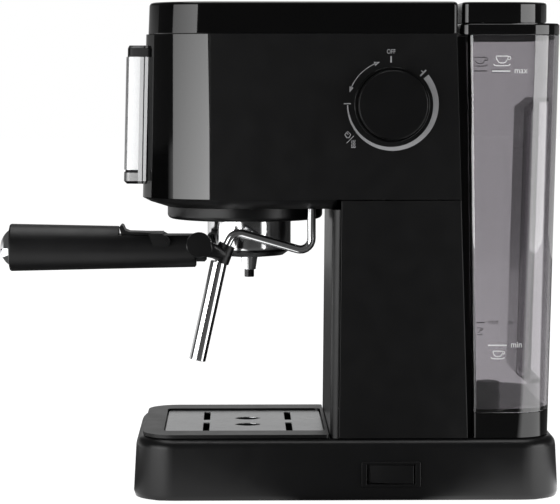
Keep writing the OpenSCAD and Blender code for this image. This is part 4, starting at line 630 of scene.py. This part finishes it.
def studio():
    """White backdrop and a pale floor that keeps the machine's shadow."""
    world = bpy.data.worlds.new("studio")
    scene.world = world
    world.use_nodes = True
    tree = world.node_tree
    background = tree.nodes["Background"]
    tree.links.new(spread(tree, plain_view(tree), 0.08, 1.0, 0.0, 1.0),
                   background.inputs["Strength"])
    background.inputs["Color"].default_value = (1, 1, 1, 1)

    half = FLOOR_HALF
    floor = sheet("floor", [(-half, -half, 0), (half, -half, 0), (half, half, 0),
                            (-half, half, 0)])
    floor.location.z = -0.2 * MM
    material, tree, shader, coords = new_material("pale_floor")
    vary_colour(tree, shader, coords, (0.84, 0.84, 0.84), (0.86, 0.86, 0.86), 0.5)
    shader.inputs["Roughness"].default_value = 0.7
    shader.inputs["Specular IOR Level"].default_value = 0.1
    glow = tree.nodes.new("ShaderNodeEmission")
    glow.inputs["Strength"].default_value = FLOOR_GLOW
    seen = mix_shaders(tree, maths(tree, "MULTIPLY", plain_view(tree), GLOW_SHARE),
                       shader.outputs["BSDF"], glow.outputs["Emission"])

    at = axes(tree)
    azimuth = maths(tree, "ARCTAN2", at["Y"], at["X"])
    lights = []
    for level, rise, fall in FLOOR_LIGHTS:
        begins = spread(tree, azimuth, 0.0, level, *map(math.radians, rise))
        ends = spread(tree, azimuth, 1.0, 0.0, *map(math.radians, fall))
        lights.append(maths(tree, "MULTIPLY", begins, ends))
    sides = tree.nodes.new("ShaderNodeEmission")
    tree.links.new(maths(tree, "ADD", *lights), sides.inputs["Strength"])
    mirrored = maths(tree, "SUBTRACT", camera_sees(tree, "Is Glossy Ray"),
                     camera_sees(tree, "Is Transmission Ray"), clamp=True)
    surface = mix_shaders(tree, spread(tree, mirrored, 0.0, MIRROR_SHARE, 0.0, 1.0), seen,
                          sides.outputs["Emission"])
    tree.links.new(surface, tree.nodes["Material Output"].inputs["Surface"])
    set_material(floor, material)


def light_wall(name, eye, azimuths, height, radiance, share, distance=1.7):
    """A tall diffuser on the floor, seen from `eye` between two azimuths (+X towards +Y, in
    degrees). Its radiance goes from the first to the second value across, times the share from
    foot to mid-height, and stays there above."""
    from_az, to_az = azimuths
    middle = math.radians((from_az + to_az) / 2)
    half = distance * math.tan(math.radians(abs(to_az - from_az) / 2))
    out = Vector((math.cos(middle), math.sin(middle), 0))
    across = Vector((-math.sin(middle), math.cos(middle), 0)) * half
    if to_az < from_az:
        across.negate()
    wall = sheet(name, [(-1, 0, 0), (1, 0, 0), (1, 0, 1), (-1, 0, 1)])
    base = Vector((eye[0], eye[1], 0)) + out * distance
    turn = Matrix((across, out, Vector((0, 0, height)))).transposed().to_4x4()
    wall.matrix_world = Matrix.Translation(base) @ turn
    material, tree, glow = light_material(name)
    at = axes(tree)
    tree.links.new(maths(tree, "MULTIPLY", spread(tree, at["X"], *radiance, -1.0, 1.0),
                         spread(tree, at["Z"], *share, 0.0, 0.5)), glow.inputs["Strength"])
    wall.visible_camera = False
    wall.visible_transmission = False
    set_material(wall, material)


def floor_panel(name, corner, opposite, radiance):
    """A lit panel flat on the floor that only mirrored rays meet."""
    (x0, y0), (x1, y1) = corner, opposite
    panel = sheet(name, [(x0, y0, 0.001), (x1, y0, 0.001), (x1, y1, 0.001), (x0, y1, 0.001)])
    material, _, glow = light_material(name)
    glow.inputs["Strength"].default_value = radiance
    panel.visible_camera = False
    panel.visible_diffuse = False
    panel.visible_transmission = False
    panel.visible_shadow = False
    set_material(panel, material)


# name, eye (x, y), azimuths, height, radiance across, share from foot to mid-height
WALLS = (
    ("front_wall", (0.07, -0.12), (-23, -73.5), 0.7, (7.0, 3.6), (1.25, 0.8)),
    ("rear_wall", (0.07, 0.12), (38, 86), 0.7, (4.4, 4.6), (1.15, 0.99)),
    ("back_wall", (-0.07, 0.0), (148, 212), 1.6, (0.5, 0.5), (1.1, 0.9)),
    ("left_wall", (0.0, -0.13), (-112, -172), 1.1, (1.0, 0.4), (1.24, 0.1)),
    ("right_wall", (0.0, 0.13), (112, 172), 1.1, (0.7, 0.3), (1.24, 0.1)),
)
TOP_SIDE, TOP_RADIANCE = 1.5, 3.6  # the overhead lamp's side in metres, and its radiance


def lamps():
    for wall in WALLS:
        light_wall(*wall)
    floor_panel("front_panel", (-0.7, -2.3), (0.55, -0.5), 2.6)
    top = bpy.data.lights.new("top_box", "AREA")
    top.shape = "RECTANGLE"
    top.size = TOP_SIDE
    top.size_y = TOP_SIDE
    top.energy = TOP_RADIANCE * math.pi * TOP_SIDE * TOP_SIDE
    obj = link(bpy.data.objects.new("top_box", top))
    obj.location = (-0.2, 0, 1.9)
    obj.visible_camera = False


def camera():
    """The photograph's viewing angle: almost square on to the right-hand side."""
    data = bpy.data.cameras.new("camera")
    data.sensor_width = 36.0
    data.lens = 153.456
    obj = link(bpy.data.objects.new("camera", data))
    pitch = math.radians(4.324)
    yaw = math.radians(1.008)
    view = Vector((-math.cos(pitch) * math.cos(yaw), math.cos(pitch) * math.sin(yaw),
                   -math.sin(pitch)))
    right = view.cross(Vector((0, 0, 1))).normalized()
    up = right.cross(view)
    turn = Matrix((right, up, -view)).transposed().to_4x4()
    obj.matrix_world = Matrix.Translation((1.555, -0.0685, 0.269555)) @ turn
    scene.camera = obj


studio()
lamps()
camera()
scene.view_settings.view_transform = "Standard"
